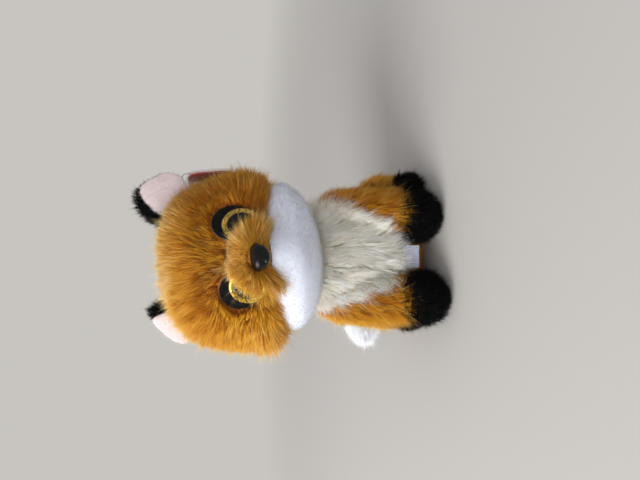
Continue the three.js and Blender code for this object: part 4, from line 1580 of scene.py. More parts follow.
    def face_flow(self, points: Array) -> Array:
        """Works out how the head's pile lies: out from the nose, and down at the back.

        Args:
            points: the fibres' roots.

        Returns:
            The way that each fibre lies.
        """
        out = unit(points - self.nose_middle)
        local = self.place.back(points)
        behind = smooth(local[:, 1], -8.0, 16.0)[:, None]
        flow = out * (1 - behind) + (DOWN + 0.4 * out) * behind
        low = smooth(-local[:, 2], -24.0, -4.0)[:, None] * (1 - behind)
        return unit(flow + 0.5 * low * DOWN)

    def face_tones(self, points: Array) -> Array:
        """Works out the pile's tones: dark over the brow and round the eyes, pale at the crown.

        Args:
            points: the fibres' roots.

        Returns:
            Each fibre's tone.
        """
        local = self.place.back(points)
        tones = 0.47 + 0.07 * ripples(points, 18.0, 5)
        tones = tones + 0.3 * smooth(local[:, 2], 52.0, 68.0)
        brow = np.exp(-(((local[:, 2] - 47) / 9) ** 2) - (local[:, 0] / 26) ** 2) * (local[:, 1] < 0)
        tones = tones - 0.28 * brow
        return tones - 0.14 * np.exp(-(((self.from_patches(points) - 2) / 4.5) ** 2))

    def coat(self) -> None:
        """Grows the pile of the head, jowl and muzzle."""
        locks = (Locks(1.3, 0.2), Locks(4.5, 0.14))
        long_pile = Pile(8.2, 4.4, 0.21, rise=56, lie=22, stray=0.1, locks=locks)
        bed = scatter(self.skin(96, 64), long_pile.per_square, 11)
        bed = bed.clear_of(self.jowl, 2.0).clear_of(self.muzzle, 3.4).clear_of(self.lip, 2.0)
        bed = bed.where(self.from_patches(bed.points) > 0.2)
        local = self.place.back(bed.points)
        bed = bed.where((local[:, 2] > 9) | (lengths(local[:, :2]) > 20))
        local = self.place.back(bed.points)
        reach = 0.62 + 0.38 * smooth(self.from_patches(bed.points), 0.5, 7.0)
        reach = reach * (1 - 0.1 * smooth(local[:, 2], 50.0, 66.0))
        tuft = smooth(np.abs(local[:, 0]), 30.0, 40.0) * smooth(-local[:, 2], -32.0, -20.0)
        reach = reach * (1 + np.where(local[:, 0] < 0, 0.45, 0.1) * tuft)
        flow = self.face_flow(bed.points)
        brow = np.exp(-(((local[:, 2] - 48) / 11) ** 2)) * (local[:, 1] < 0)
        fibres = long_pile.grow(bed, flow, self.face_tones(bed.points), reach, 12, 0.45 * brow)
        fibres = fibres.where(self.from_patches(fibres.lines[:, -1]) > -1.2).with_points(above_floor)
        roots = self.place.back(fibres.lines[:, 0])
        back, height = roots[:, 1] > self.seam_back, roots[:, 2]
        for name, part in (
            ("crown_pile", ~back & (height > 50)),
            ("brow_pile", ~back & (height <= 50) & (height > 34)),
            ("cheek_pile", ~back & (height <= 34)),
            ("nape_pile", back & (height > 40)),
            ("scruff_pile", back & (height <= 40)),
        ):
            add_coat(name, fibres.where(part), ORANGE_FIBRES, "head")
        self.puff()
        self.short_coat()

    def puff(self) -> None:
        """Grows the muzzle's golden pile, which spreads out from the nose and over the eyes."""
        locks = (Locks(1.2, 0.2), Locks(3.6, 0.12))
        soft = Pile(6.4, 9.0, 0.2, rise=62, lie=24, knots=4, stray=0.1, locks=locks)
        bed = scatter(self.muzzle.grid(72, 48, self.puff_depth), 2 * soft.per_square, 21)
        bed = bed.clear_of(self.skull, PILE_DEPTH)
        beside = smooth(-self.from_patches(bed.points), -5.0, 0.0)
        bed = bed.where(np.random.default_rng(24).random(len(beside)) < 0.5 + 0.5 * beside)
        away = lengths(bed.points - self.nose_middle)
        bed = bed.where((away > 5.0) & self.above_lip(bed.points) & ~self.in_eyes(bed.points))
        away = lengths(bed.points - self.nose_middle)
        tones = 0.4 + 0.25 * smooth(away, 6.0, 16.0) + 0.08 * ripples(bed.points, 8.0, 6)
        flow = unit(bed.points - self.nose_middle)
        reach = 0.5 + 0.5 * smooth(away, 5.0, 11.0) + 0.3 * smooth(away, 11.0, 18.0)
        local = self.place.back(bed.points)
        reach = reach * (1 - 0.6 * smooth(local[:, 2], 29.0, 38.0))
        beside = smooth(-self.from_patches(bed.points), -5.0, 0.0)
        reach = reach * (1 + np.where(local[:, 0] < 0, 1.7, 0.9) * beside)
        fibres = self.trimmed(soft.grow(bed, flow, tones, reach, 22), 23).with_points(self.over_eyes)
        add_coat("muzzle_pile", fibres, GOLD_FIBRES, "head")

        long = Pile(13.0, 9.0, 0.2, rise=50, lie=2, uneven=0.3, knots=4, stray=0.0, locks=locks[:1])
        near = beside > 0.3
        rims, flow, tones = bed.where(near), flow[near], tones[near]
        reach = np.where(local[near, 0] < 0, 1.25, 0.8) * (1 - 0.55 * smooth(local[near, 2], 30.0, 37.0))
        fringe = self.trimmed(long.grow(rims, flow, tones, reach, 25), 26).with_points(self.over_eyes)
        add_coat("muzzle_fringe", fringe, GOLD_FIBRES, "head")

    def short_coat(self) -> None:
        """Grows the white pile of the jowl, the lip and the muzzle's underside."""
        short = Pile(1.5, 3.8, 0.08, 80, 66, 0.25, wander=30, swirl=0, curl=0, stray=0, knots=2, locks=())
        bare = (self.skull, PILE_DEPTH)
        chin = scatter(self.chin(96, 64), short.per_square, 31).clear_of(*bare).clear_of(self.muzzle, 2.6)
        under = scatter(self.muzzle.grid(72, 48, self.puff_depth - 0.8), short.per_square, 34)
        under = under.where(~self.above_lip(under.points)).clear_of(*bare).clear_of(self.jowl, SHORT_DEPTH)
        bed = Bed(np.concatenate([chin.points, under.points]), np.concatenate([chin.normals, under.normals]))
        local = self.place.back(bed.points)
        bed = bed.where((local[:, 2] > -7) | (lengths(local[:, :2]) > 14))
        flow = unit(bed.points - self.nose_middle) + 0.5 * DOWN
        tones = 0.6 + 0.15 * ripples(bed.points, 10.0, 7)
        add_coat("jowl_pile", short.grow(bed, flow, tones, 1.0, 33), DIMMED_WHITE_FIBRES, "head")

    def build(self) -> None:
        """Builds all of the head's soft pieces."""
        self.covers()
        self.coat()


@dataclass
class Torso:
    """The torso's cover, its bib, and what it holds."""

    width: float = 56.0
    depth: float = 50.0
    height: float = 84.0
    back: float = 3.0
    chest_forward: float = 3.0
    floor_cut: float = 0.5
    bib_width: float = 48.0
    bib_top: float = 74.0
    bib_tip: float = 21.0
    pouch_height: float = 22.0
    pouch_size: Pair = (38.0, 34.0)

    def __post_init__(self) -> None:
        """Works out the torso's form."""
        self.form = StuffedForm(
            upright(0, self.back, -self.floor_cut, self.height, self.chest_forward),
            self.width,
            self.depth,
            (1.1, 1.1, 1.02, 0.95, 0.88),
            (1.12, 1.08, 1.0, 0.94, 0.88),
            fullness=2.8,
        )

    def bib_half(self, height: Array) -> Array:
        """Works out the bib's half width: straight above its corners, then drawn in to a point.

        Args:
            height: heights over the floor.

        Returns:
            The half widths.
        """
        tall = self.bib_top - self.bib_tip
        corner = self.bib_top - 0.35 * tall
        share = np.clip((height - self.bib_tip) / (corner - self.bib_tip), 0, 1)
        return self.bib_width / 2 * np.sqrt(share) * (1 - 0.12 * (1 - share))

    def on_bib(self, points: Array) -> Array:
        """Tells which points of the torso's front lie on the bib.

        Args:
            points: places in the fox's axes.

        Returns:
            True for each that does.
        """
        ahead = points[:, 1] < self.back
        high = (points[:, 2] > self.bib_tip) & (points[:, 2] < self.bib_top)
        return ahead & high & (np.abs(points[:, 0]) < self.bib_half(points[:, 2]))

    def bib_skin(self, inset: float, rows: int = 48, columns: int = 40) -> Array:
        """Works out the bib's fabric.

        Args:
            inset: how deep it lies under the torso's outside.
            rows: steps up it.
            columns: steps across it.

        Returns:
            Rows of points: across by the half width's shares, up by even steps, and ahead by the
            torso's own surface.
        """
        height = np.linspace(self.bib_tip + 0.5, self.bib_top - 4, rows)
        share = np.linspace(-1, 1, columns)
        across = self.bib_half(height)[:, None] * share[None]
        heights = np.broadcast_to(height[:, None], across.shape)
        guess = np.stack([across, np.full_like(across, -20.0), heights], -1)
        for _ in range(12):
            flat = guess.reshape(-1, 3)
            level = self.form.level(flat, inset).reshape(across.shape)
            middle = self.back - self.chest_forward * heights / self.height
            guess[..., 1] = middle + (guess[..., 1] - middle) / level
        return guess

    def build(self, head: Head, legs: Sequence["FrontLeg"]) -> None:
        """Builds the torso's pieces.

        Args:
            head: cut out of the torso's top, with its travel.
            legs: the front legs, which the bib's fringe lies over.
        """
        spaces = head.swept()
        inner = stuffed(self.form, PILE_DEPTH + BACKING, 72, 48)
        cover = stuffed(self.form, PILE_DEPTH, 96, 64).cut(inner, *spaces)
        add_cover("torso_skin", cover, ORANGE_BACKING, "torso", "torso_cover")
        floor = PILE_DEPTH + BACKING + GAP
        stand = upright(0, self.back, floor, self.pouch_height)
        pouch = StuffedForm(stand, *self.pouch_size, fullness=2.8)
        room = stuffed(self.form, floor, 48, 32)
        bag = stuffed(pouch, 0, 48, 24).joined([room], Join.KEEP)
        add_cover("pellet_bag", bag, PELLET_BAG, "torso", "pellet_pouch")
        low = Solid.half_space((0, 0, floor + self.pouch_height / 2), (0, 0, -1))
        stuffing = room.cut(stuffed(pouch, -GAP, 48, 24), low, *spaces)
        add_cover("torso_stuffing", stuffing, FILLING, "torso", "torso_filling")
        self.bib()
        self.coat(head, legs)

    def bib(self) -> None:
        """Builds the bib's panel, a layer over the cover."""
        front = self.bib_skin(PILE_DEPTH - GAP - BACKING)
        panel = Solid.from_sheets(front, self.bib_skin(PILE_DEPTH - GAP))
        add_cover("bib_skin", panel, CREAM_BACKING, "torso", "chest_bib")

    def coat(self, head: Head, legs: Sequence["FrontLeg"]) -> None:
        """Grows the pile of the cover and of the bib.

        Args:
            head: kept clear.
            legs: the front legs, which the bib's fringe lies over.
        """
        pile = Pile(7.5, 2.25, 0.25, rise=55, lie=20)
        bed = scatter(self.form.grid(96, 64, PILE_DEPTH), pile.per_square, 41)
        bed = bed.where((bed.points[:, 2] > 1.0) & ~self.on_bib(bed.points))
        bed = bed.clear_of(head.skull, -1.0).clear_of(head.jowl, -1.0)
        flow = DOWN + 0.25 * bed.normals
        tones = 0.47 + 0.1 * ripples(bed.points, 16.0, 8)
        # Painted shade: the front pile is darkened towards the floor, below about 16 mm, for the shadow under
        # the chest and between the paws.
        tones = tones - 0.5 * smooth(-bed.points[:, 2], -16.0, -6.0) * (bed.points[:, 1] < 0)
        fibres = pile.grow(bed, flow, tones, 1.0, 42)
        add_coat("torso_pile", fibres.with_points(above_floor), ORANGE_FIBRES, "torso")

        locks = (Locks(1.8, 0.3), Locks(6.0, 0.2))
        long_pile = Pile(11.0, 4.8, 0.2, 56, 18, knots=4, curl=0.6, wander=10, swirl=30, locks=locks)
        bed = scatter(self.form.grid(128, 96, PILE_DEPTH - GAP - BACKING), long_pile.per_square, 43)
        bed = bed.where(self.on_bib(bed.points)).clear_of(head.skull, -1.0).clear_of(head.jowl, 0.0)
        side = bed.points[:, 0] / (self.bib_width / 2)
        high = smooth(bed.points[:, 2], 30.0, 50.0)
        outwards = side * (0.4 + 0.6 * high) * np.where(side < 0, 0.3, 1.0)
        flow = DOWN + outwards[:, None] * ACROSS + (0.3 + 0.5 * side[:, None] ** 2) * AHEAD
        tones = 0.55 + 0.16 * ripples(bed.points, 11.0, 9)
        reach = 0.9 + np.abs(side) * np.where(side < 0, 0.1, 0.4)
        fibres = long_pile.grow(bed, flow, tones, reach, 44)
        for leg in legs:
            fibres = fibres.with_points(lambda points, form=leg.tube: ahead_of(points, form, 0.6))
        add_coat("bib_pile", fibres, CREAM_FIBRES, "torso")


LEG_DEPTH = 3.4  # from the outside of a leg's form to its fabric


@dataclass
class FrontLeg:
    """A front leg: an orange tube over a black paw, turning at the shoulder."""

    name: str
    side: int
    paw_forward: float
    cuff: float = 21.0
    shoulder: tuple[float, float, float] = (26.0, 8.0, 52.0)
    paw_out: float = 21.5
    foot_rise: float = 6.5
    tube_size: Pair = (24.0, 26.0)
    paw_size: Pair = (28.0, 29.0)
    paw_height: float = 26.0
    bib_shares: Pair = (0.75, 0.3)

    def __post_init__(self) -> None:
        """Works out the leg's two forms, in a frame at the shoulder."""
        place = Place(np.eye(3), joint_place(f"{self.name}_front_leg_swing"))
        out, back, rise = self.shoulder
        across, ahead = self.side * (self.paw_out - out), back - self.paw_forward
        foot = np.array([across, ahead, self.foot_rise - rise])
        path = through_points([foot, foot / 2, (0, 0, 0), (0.0, 3.0, 11.0)])
        self.tube = StuffedForm(path, *self.tube_size, (1.1, 1.1, 1.05, 0.95, 0.9), place=place)
        stand = upright(across, ahead, -rise - 0.5, self.paw_height)
        self.paw = StuffedForm(stand, *self.paw_size, (1.05, 1.06, 1.0, 0.9), fullness=2.8, place=place)
        self.forms = (self.tube, self.paw)

    def whole(self, inset: float) -> Solid:
        """Returns the tube and the paw as one solid, at a depth inside their outside."""
        return stuffed(self.tube, inset, 56, 40).joined([stuffed(self.paw, inset, 56, 40)], Join.ADD)

    def build(self, torso: Torso, head: Head) -> None:
        """Builds the leg's covers, filling and pile.

        Args:
            torso: what the leg is sewn to.
            head: kept clear, with its travel.
        """
        free = [stuffed(torso.form, -2.0, 64, 40), *head.swept(), UNDER_FLOOR]
        shell = self.whole(LEG_DEPTH).cut(self.whole(LEG_DEPTH + BACKING), *free)
        below = Solid.half_space((0, 0, self.cuff + GAP / 2), (0, 0, -1))
        above = Solid.half_space((0, 0, self.cuff - GAP / 2), (0, 0, 1))
        stuffing = self.whole(LEG_DEPTH + BACKING + GAP).cut(*free)
        leg, paw = f"{self.name}_front_leg", f"{self.name}_front_paw"
        add_leg(leg, paw, shell.cut(below), shell.cut(above), stuffing)
        self.coat(leg, torso, head)
        self.paw_coat(leg, paw, torso)

    def coat(self, leg: str, torso: Torso, head: Head) -> None:
        """Grows the orange pile over the cuff, shorter beside the bib and longer at the hem.

        Args:
            leg: the name of the leg and of its body.
            torso: kept clear.
            head: kept clear.
        """
        pile = Pile(7.6, 4.4, 0.21, rise=54, lie=18, stray=0.03, locks=(Locks(1.8, 0.32), Locks(4.0, 0.25)))
        bed = scatter(self.tube.grid(72, 56, LEG_DEPTH), pile.per_square, 51 + self.side)
        bed = bed.above(self.cuff).clear_of(torso.form, 0.5).clear_of(self.paw, LEG_DEPTH)
        bed = bed.clear_of(head.skull, -1.0).clear_of(head.jowl, -0.5)
        tones = 0.5 + 0.1 * ripples(bed.points, 12.0, 10 + self.side)
        near_bib = smooth(-np.abs(bed.points[:, 0]), -22.0, -15.0) * smooth(-bed.points[:, 1], 6.0, 14.0)
        near_bib = near_bib * smooth(bed.points[:, 2], 28.0, 36.0)
        hem = smooth(-bed.points[:, 2], -34.0, -24.0)
        reach = (1 - self.bib_shares[self.side < 0] * near_bib) * (1 + 0.3 * hem)
        add_coat(f"{leg}_pile", pile.grow(bed, DOWN, tones, reach, 53 + self.side), ORANGE_FIBRES, leg)

    def paw_coat(self, leg: str, paw: str, torso: Torso) -> None:
        """Grows the paw's black pile, down and outwards.

        Args:
            leg: the leg's body.
            paw: the paw's name.
            torso: kept clear.
        """
        short = Pile(5.6, 4.5, 0.22, rise=60, lie=30, locks=(Locks(1.6, 0.4), Locks(4.0, 0.2)))
        bed = scatter(self.paw.grid(72, 48, LEG_DEPTH), short.per_square, 55 + self.side)
        height = bed.points[:, 2]
        bed = bed.where((height < self.cuff + 1) & (height > 0.6)).clear_of(torso.form, 0.5)
        out = unit(bed.points - self.paw.place.points(np.array([*self.paw.path[0][:2], -30.0])))
        tones = 0.5 + 0.25 * ripples(bed.points, 7.0, 12)
        fibres = short.grow(bed, DOWN + 0.5 * AHEAD + 0.6 * out, tones, 1.0, 57 + self.side)
        add_coat(f"{paw}_pile", fibres.with_points(above_floor), BLACK_FIBRES, leg)


@dataclass
class HindLeg:
    """A hind leg: an orange thigh and a black paw, which swings out at the hip."""

    name: str
    side: int
    splay: float
    bottom: float = -14.5
    thigh_size: Pair = (29.0, 38.0)
    thigh_height: float = 34.0
    paw_size: Pair = (20.0, 30.0)
    paw_height: float = 20.0
    toe_out: float = 20.0

    def __post_init__(self) -> None:
        """Works out the leg's two forms."""
        hip = joint_place(f"{self.name}_hind_leg_splay")
        place = Place(turning("Z", self.side * self.splay), hip)
        stand = upright(self.side * 10.0, -3.0, self.bottom, self.thigh_height)
        self.thigh = StuffedForm(stand, *self.thigh_size, fullness=2.6, place=place)
        toe = place.holding(turning("Z", self.side * self.toe_out), (self.side * 13.0, -15.0, 0))
        stand = upright(0, 0, self.bottom, self.paw_height)
        self.paw = StuffedForm(stand, *self.paw_size, fullness=2.8, place=toe)

    def whole(self, inset: float) -> Solid:
        """Returns the thigh and the paw as one solid, at a depth inside their outside."""
        return stuffed(self.thigh, inset, 64, 40).joined([stuffed(self.paw, inset, 48, 32)], Join.ADD)

    def build(self, torso: Torso, front: FrontLeg) -> None:
        """Builds the leg's covers, filling and pile.

        Args:
            torso: what the leg is sewn to.
            front: the front leg beside it, kept clear.
        """
        free = [stuffed(torso.form, -SWEEP_GAP, 64, 40)]
        free += [*(stuffed(form, -SWEEP_GAP, 56, 40) for form in front.forms), UNDER_FLOOR]
        shell = self.whole(LEG_DEPTH).cut(self.whole(LEG_DEPTH + BACKING), *free)
        cover = shell.joined([stuffed(self.thigh, LEG_DEPTH, 64, 40)], Join.KEEP)
        sock = shell.cut(stuffed(self.thigh, LEG_DEPTH - GAP, 64, 40))
        stuffing = stuffed(self.thigh, LEG_DEPTH + BACKING + GAP, 48, 32).cut(*free)
        leg, paw = f"{self.name}_hind_leg", f"{self.name}_hind_paw"
        add_leg(leg, paw, cover, sock, stuffing)

        pile = Pile(7.2, 2.8, 0.25, rise=54, lie=20)
        bed = scatter(self.thigh.grid(72, 48, LEG_DEPTH), pile.per_square, 61 + self.side)
        bed = self.bare(bed.above(0.8), torso, front).clear_of(self.paw, LEG_DEPTH)
        tones = 0.5 + 0.15 * ripples(bed.points, 10.0, 14)
        fibres = pile.grow(bed, DOWN + 0.5 * AHEAD + 0.3 * bed.normals, tones, 1.0, 63 + self.side)
        add_coat(f"{leg}_pile", fibres.with_points(above_floor), ORANGE_FIBRES, leg)
        short = Pile(5.4, 4.6, 0.22, rise=60, lie=30, locks=(Locks(1.6, 0.4),))
        bed = scatter(self.paw.grid(64, 40, LEG_DEPTH), short.per_square, 65 + self.side)
        bed = self.bare(bed.above(0.6), torso, front).clear_of(self.thigh, LEG_DEPTH)
        tones = 0.5 + 0.25 * ripples(bed.points, 7.0, 15)
        fibres = short.grow(bed, 0.6 * DOWN + AHEAD, tones, 1.0, 67 + self.side)
        add_coat(f"{paw}_pile", fibres.with_points(above_floor), BLACK_FIBRES, leg)

    @staticmethod
    def bare(bed: Bed, torso: Torso, front: FrontLeg) -> Bed:
        """Leaves out the places of a bed that the torso or the front leg covers.

        Args:
            bed: the places.
            torso: the torso.
            front: the front leg.

        Returns:
            The rest of the bed.
        """
        for form, inset in ((torso.form, 0.0), *((form, -0.5) for form in front.forms)):
            bed = bed.clear_of(form, inset)
        return bed


@dataclass
class Tail:
    """The tail, bent round to the fox's right, with its white tip."""

    width: float = 24.0
    length: float = 82.0
    bend: float = 131.0
    rise: float = 2.0
    tip_share: float = 0.62
    pile_depth: float = 3.6

    def __post_init__(self) -> None:
        """Works out the tail's form, on an arc."""
        turned = math.radians(self.bend)
        radius = self.length / turned
        share = np.linspace(0, 1, 65)
        x, y = radius * (np.cos(turned * share) - 1), radius * np.sin(turned * share)
        path = np.stack([x, y, self.rise * share], -1)
        place = Place(np.eye(3), joint_place("tail_sweep"))
        swell = (0.6, 0.75, 0.92, 1.04, 1.08, 1.0, 0.85)
        self.form = StuffedForm(
            path, self.width, self.width, swell, side=(0, 0, 1), fullness=2.6, place=place
        )

    def share_of(self, points: Array) -> Array:
        """Works out how far along the tail points are.

        Args:
            points: places in the fox's axes.

        Returns:
            From 0 at the root to 1 at the tip.
        """
        local = self.form.place.back(points)
        apart = ((local[:, None, :] - self.form.path[None]) ** 2).sum(axis=-1)
        return np.argmin(apart, axis=1) / (len(self.form.path) - 1)

    def build(self, torso: Torso, hind: Sequence[HindLeg]) -> None:
        """Builds the tail's covers, filling and pile.

        Args:
            torso: what the tail is sewn to.
            hind: the hind legs, kept clear.
        """
        depth, path = self.pile_depth, self.form.path
        forms = [torso.form, *(leg.thigh for leg in hind)]
        free = [*(stuffed(form, -SWEEP_GAP, 64, 40) for form in forms), UNDER_FLOOR]
        inner = stuffed(self.form, depth + BACKING, 48, 60)
        shell = stuffed(self.form, depth, 56, 72).cut(inner, *free)
        index = int(self.tip_share * (len(path) - 1))
        seam = self.form.place.points(path[index])
        along = unit(path[index + 1] - path[index - 1])
        root = shell.cut(Solid.half_space(seam, along))
        tip = shell.cut(Solid.half_space(seam + along * GAP, -along))
        stuffing = stuffed(self.form, depth + BACKING + GAP, 48, 60).cut(*free)
        add_cover("tail_skin", root, ORANGE_BACKING, "tail", "tail_cover")
        add_cover("tail_tip_skin", tip, WHITE_BACKING, "tail", "tail_tip_cover")
        add_cover("tail_stuffing", stuffing, FILLING, "tail", "tail_filling")

        pile = Pile(8.8, 4.2, 0.2, rise=60, lie=26, locks=(Locks(1.6, 0.15), Locks(5.0, 0.1)))
        bed = scatter(self.form.grid(72, 96, depth), pile.per_square, 71)
        bed = bed.above(0.8)
        for form in forms:
            bed = bed.clear_of(form, -0.5)
        share = self.share_of(bed.points)
        ahead = np.gradient(path, axis=0)[np.round(share * (len(path) - 1)).astype(int)]
        tones = 0.5 + 0.15 * ripples(bed.points, 10.0, 16)
        fibres = pile.grow(bed, unit(ahead), tones, 1.0, 72).with_points(above_floor)
        white = share > self.tip_share
        add_coat("tail_pile", fibres.where(~white), ORANGE_FIBRES, "tail")
        add_coat("tail_tip_pile", fibres.where(white), LIGHTENED_TIP_FIBRES, "tail")


@dataclass
class SafetyEye:
    """A safety eye: a black plate on a stem, a gold ring, a pupil and a clear dome, over a felt patch.

    Heights are along the eye's own axis, from the back of the patch.
    """

    name: str
    side: int
    radius: float = 8.7
    stem_radius: float = 1.8
    stem_depth: float = 9.0
    plate: Pair = (1.2, 2.4)
    disc: Pair = (2.7, 3.5)
    ring_inner: float = 6.4
    dome_foot: float = 3.8
    dome_height: float = 3.4
    patch_thick: float = 0.9
    flake: float = 0.46
    flakes: int = 300
    flake_slant: float = 0.32
    flake_peak: float = 0.05

    def build(self, head: Head) -> None:
        """Builds the eye's pieces.

        Args:
            head: gives the eye's place.
        """
        place = head.eye_place(self.side)
        self.patch(head, place)
        low, high = self.plate
        plate = [(0, -self.stem_depth), (self.stem_radius, -self.stem_depth), (self.stem_radius, low - 0.3)]
        plate += [(self.stem_radius + 0.3, low), (self.radius - 0.2, low), (self.radius, low + 0.2)]
        plate += [(self.radius, high - 0.2), (self.radius - 0.2, high), (0, high)]
        self.part("base", Solid.lathed(plate, place), BLACK_GLOSS)
        low, high = self.disc
        middle = (self.ring_inner + self.radius) / 2
        ring = [(self.ring_inner, low), (self.radius, low), (self.radius, high - 0.35)]
        ring += [(self.radius - 0.3, high - 0.1), (middle, high)]
        ring += [(self.ring_inner + 0.2, high - 0.1), (self.ring_inner, high - 0.3)]
        self.part("iris", Solid.lathed(ring, place), GOLD_GLITTER)
        edge = self.ring_inner - GAP
        pupil = [(0, low), (edge, low), (edge, high - 0.4), (edge - 0.3, high - 0.15)]
        pupil += [(edge / 2, high), (0, high)]
        self.part("pupil", Solid.lathed(pupil, place), PUPIL_BLACK)
        ball = (self.radius**2 + self.dome_height**2) / (2 * self.dome_height)
        angle = math.asin(self.radius / ball) * (1 - np.arange(25) / 24)
        drop = ball - self.dome_height
        dome = [(ball * math.sin(a), self.dome_foot + ball * math.cos(a) - drop) for a in angle]
        dome.insert(0, (0.0, self.dome_foot))
        self.part("lens", Solid.lathed(dome, place), CLEAR_LENS)
        self.glitter(place)

    def part(self, name: str, solid: Solid, finish: Finish) -> None:
        """Adds one of the eye's parts in place of its node."""
        add_solid(f"{self.name}_eye_{name}_part", solid, finish, "head", f"{self.name}_eye_{name}")

    def patch(self, head: Head, place: Place) -> None:
        """Builds the felt patch, a disc with a soft edge and a short nap.

        Args:
            head: gives the patch's size and place.
            place: the eye's frame.
        """
        shift = place.holding(np.eye(3), (self.side * head.patch_out, head.patch_up, 0))
        edge, top = head.patch_radius, self.patch_thick
        disc = [(0, 0), (edge - 0.2, 0), (edge, 0.2), (edge, top - 0.3)]
        disc += [(edge - 0.3, top), (edge / 2, top), (0, top)]
        self.part("patch", Solid.lathed(disc, shift), BLACK_FELT)
        radius = np.linspace(0.05, edge, 24)[::-1]
        x, y = radius[:, None] * np.cos(turns(64)), radius[:, None] * np.sin(turns(64))
        nap = Pile(0.9, 9.0, 0.16, rise=50, lie=20, wander=60, curl=0.1, knots=2, locks=())
        face = shift.points(np.stack([x, y, np.full(x.shape, top)], -1))
        bed = scatter(face, nap.per_square, 81 + self.side)
        tones = 0.5 + 0.3 * ripples(bed.points, 4.0, 82)
        add_coat(f"{self.name}_eye_patch_nap", nap.grow(bed, DOWN, tones, 1.0, 83), FELT_NAP, "head")

    def glitter(self, place: Place) -> None:
        """Sets flakes on the ring: flat six-sided plates with a low peak, each at its own slant.

        Args:
            place: the eye's frame.
        """
        rng = np.random.default_rng(90 + self.side)
        count = self.flakes
        away = rng.uniform(self.ring_inner + 0.2, self.radius - 0.35, count)
        round_it = rng.uniform(0, 2 * np.pi, count)
        height = np.full(count, self.disc[1] + 0.02)
        middle = np.stack([away * np.cos(round_it), away * np.sin(round_it), height], -1)
        lean = [rng.normal(0, self.flake_slant, count) for _ in range(2)]
        normal = unit(np.stack([*lean, np.ones(count)], -1))
        first = unit(np.cross(normal, rng.normal(size=(count, 3))))
        second = np.cross(normal, first)
        size = self.flake / 2 * rng.uniform(0.6, 1.15, (count, 1, 1))
        x, y = np.cos(turns(6))[:, None], np.sin(turns(6))[:, None]
        rim = middle[:, None] + (first[:, None] * x + second[:, None] * y) * size
        rise = normal[:, None] * self.flake_peak
        points = np.concatenate([rim, middle[:, None] + rise, middle[:, None] - rise], axis=1)
        ring = np.arange(6)
        after = (ring + 1) % 6
        top, foot = np.full(6, 6), np.full(6, 7)
        faces = np.concatenate([np.stack([ring, after, top], -1), np.stack([after, ring, foot], -1)])
        every = (faces[None] + np.arange(count)[:, None, None] * 8).reshape(-1, 3)
        made = Solid.from_faces(place.points(points.reshape(-1, 3)), [every]).mesh("glitter", MM)
        add_piece(f"{self.name}_eye_glitter", made, GOLD_FLAKE, "head")


@dataclass
class SafetyNose:
    """The nose: a black button wide at its top, with two nostril dents, on a stem."""

    wide: float = 11.6
    tall: float = 8.6
    deep: float = 6.0
    dent: float = 1.1
    nostril_out: float = 2.5
    nostril_up: float = -0.9
    stem_radius: float = 1.6
    stem_length: float = 9.0
    washer_radius: float = 4.0
    washer_level: float = -6.0
    washer_thick: float = 1.2

    def build(self, head: Head) -> None:
        """Builds the button with its stem, and the washer behind the muzzle's fabric.

        Args:
            head: gives the nose's place.
        """
        place = Place(head.place.turn, head.nose_middle)
        stand = upright(0, 0, -self.tall / 2, self.tall)
        form = StuffedForm(
            stand,
            self.wide,
            2 * self.deep,
            (0.55, 0.9, 1.06, 1.1),
            (1.0, 1.0),
            fullness=2.6,
            squareness=2.3,
            place=place,
        )
        local = place.back(form.grid(96, 64))
        out = np.stack([np.abs(local[..., 0]) - self.nostril_out, local[..., 2] - self.nostril_up], -1)
        dent = self.dent * np.exp(-((out[..., 0] / 1.1) ** 2) - (out[..., 1] / 0.9) ** 2)
        groove = 0.3 * np.exp(-((local[..., 0] / 0.5) ** 2)) * smooth(-local[..., 2], 0.0, 1.5)
        local[..., 1] += (dent + groove) * (local[..., 1] < 0)
        behind = Solid.half_space(place.origin, place.directions(-AHEAD))
        front = Solid.from_rings(place.points(local)).cut(behind)
        back = place.holding(turning("X", 90), (0, 0, 0))
        foot, round_it = -self.stem_length, self.stem_radius
        stem = Solid.lathed([(0, foot), (round_it, foot), (round_it, 1), (0, 1)], back, 32)
        add_solid("nose_button", front.joined([stem], Join.ADD), BLACK_GLOSS, "head", "nose")
        low, high, hole = self.washer_level, self.washer_level + self.washer_thick, self.stem_radius + GAP
        ring = [(self.washer_radius, low), (self.washer_radius, high), (hole, high), (hole, low)]
        add_solid("nose_washer_ring", Solid.lathed(ring, back, 48), NYLON, "head", "nose_washer")


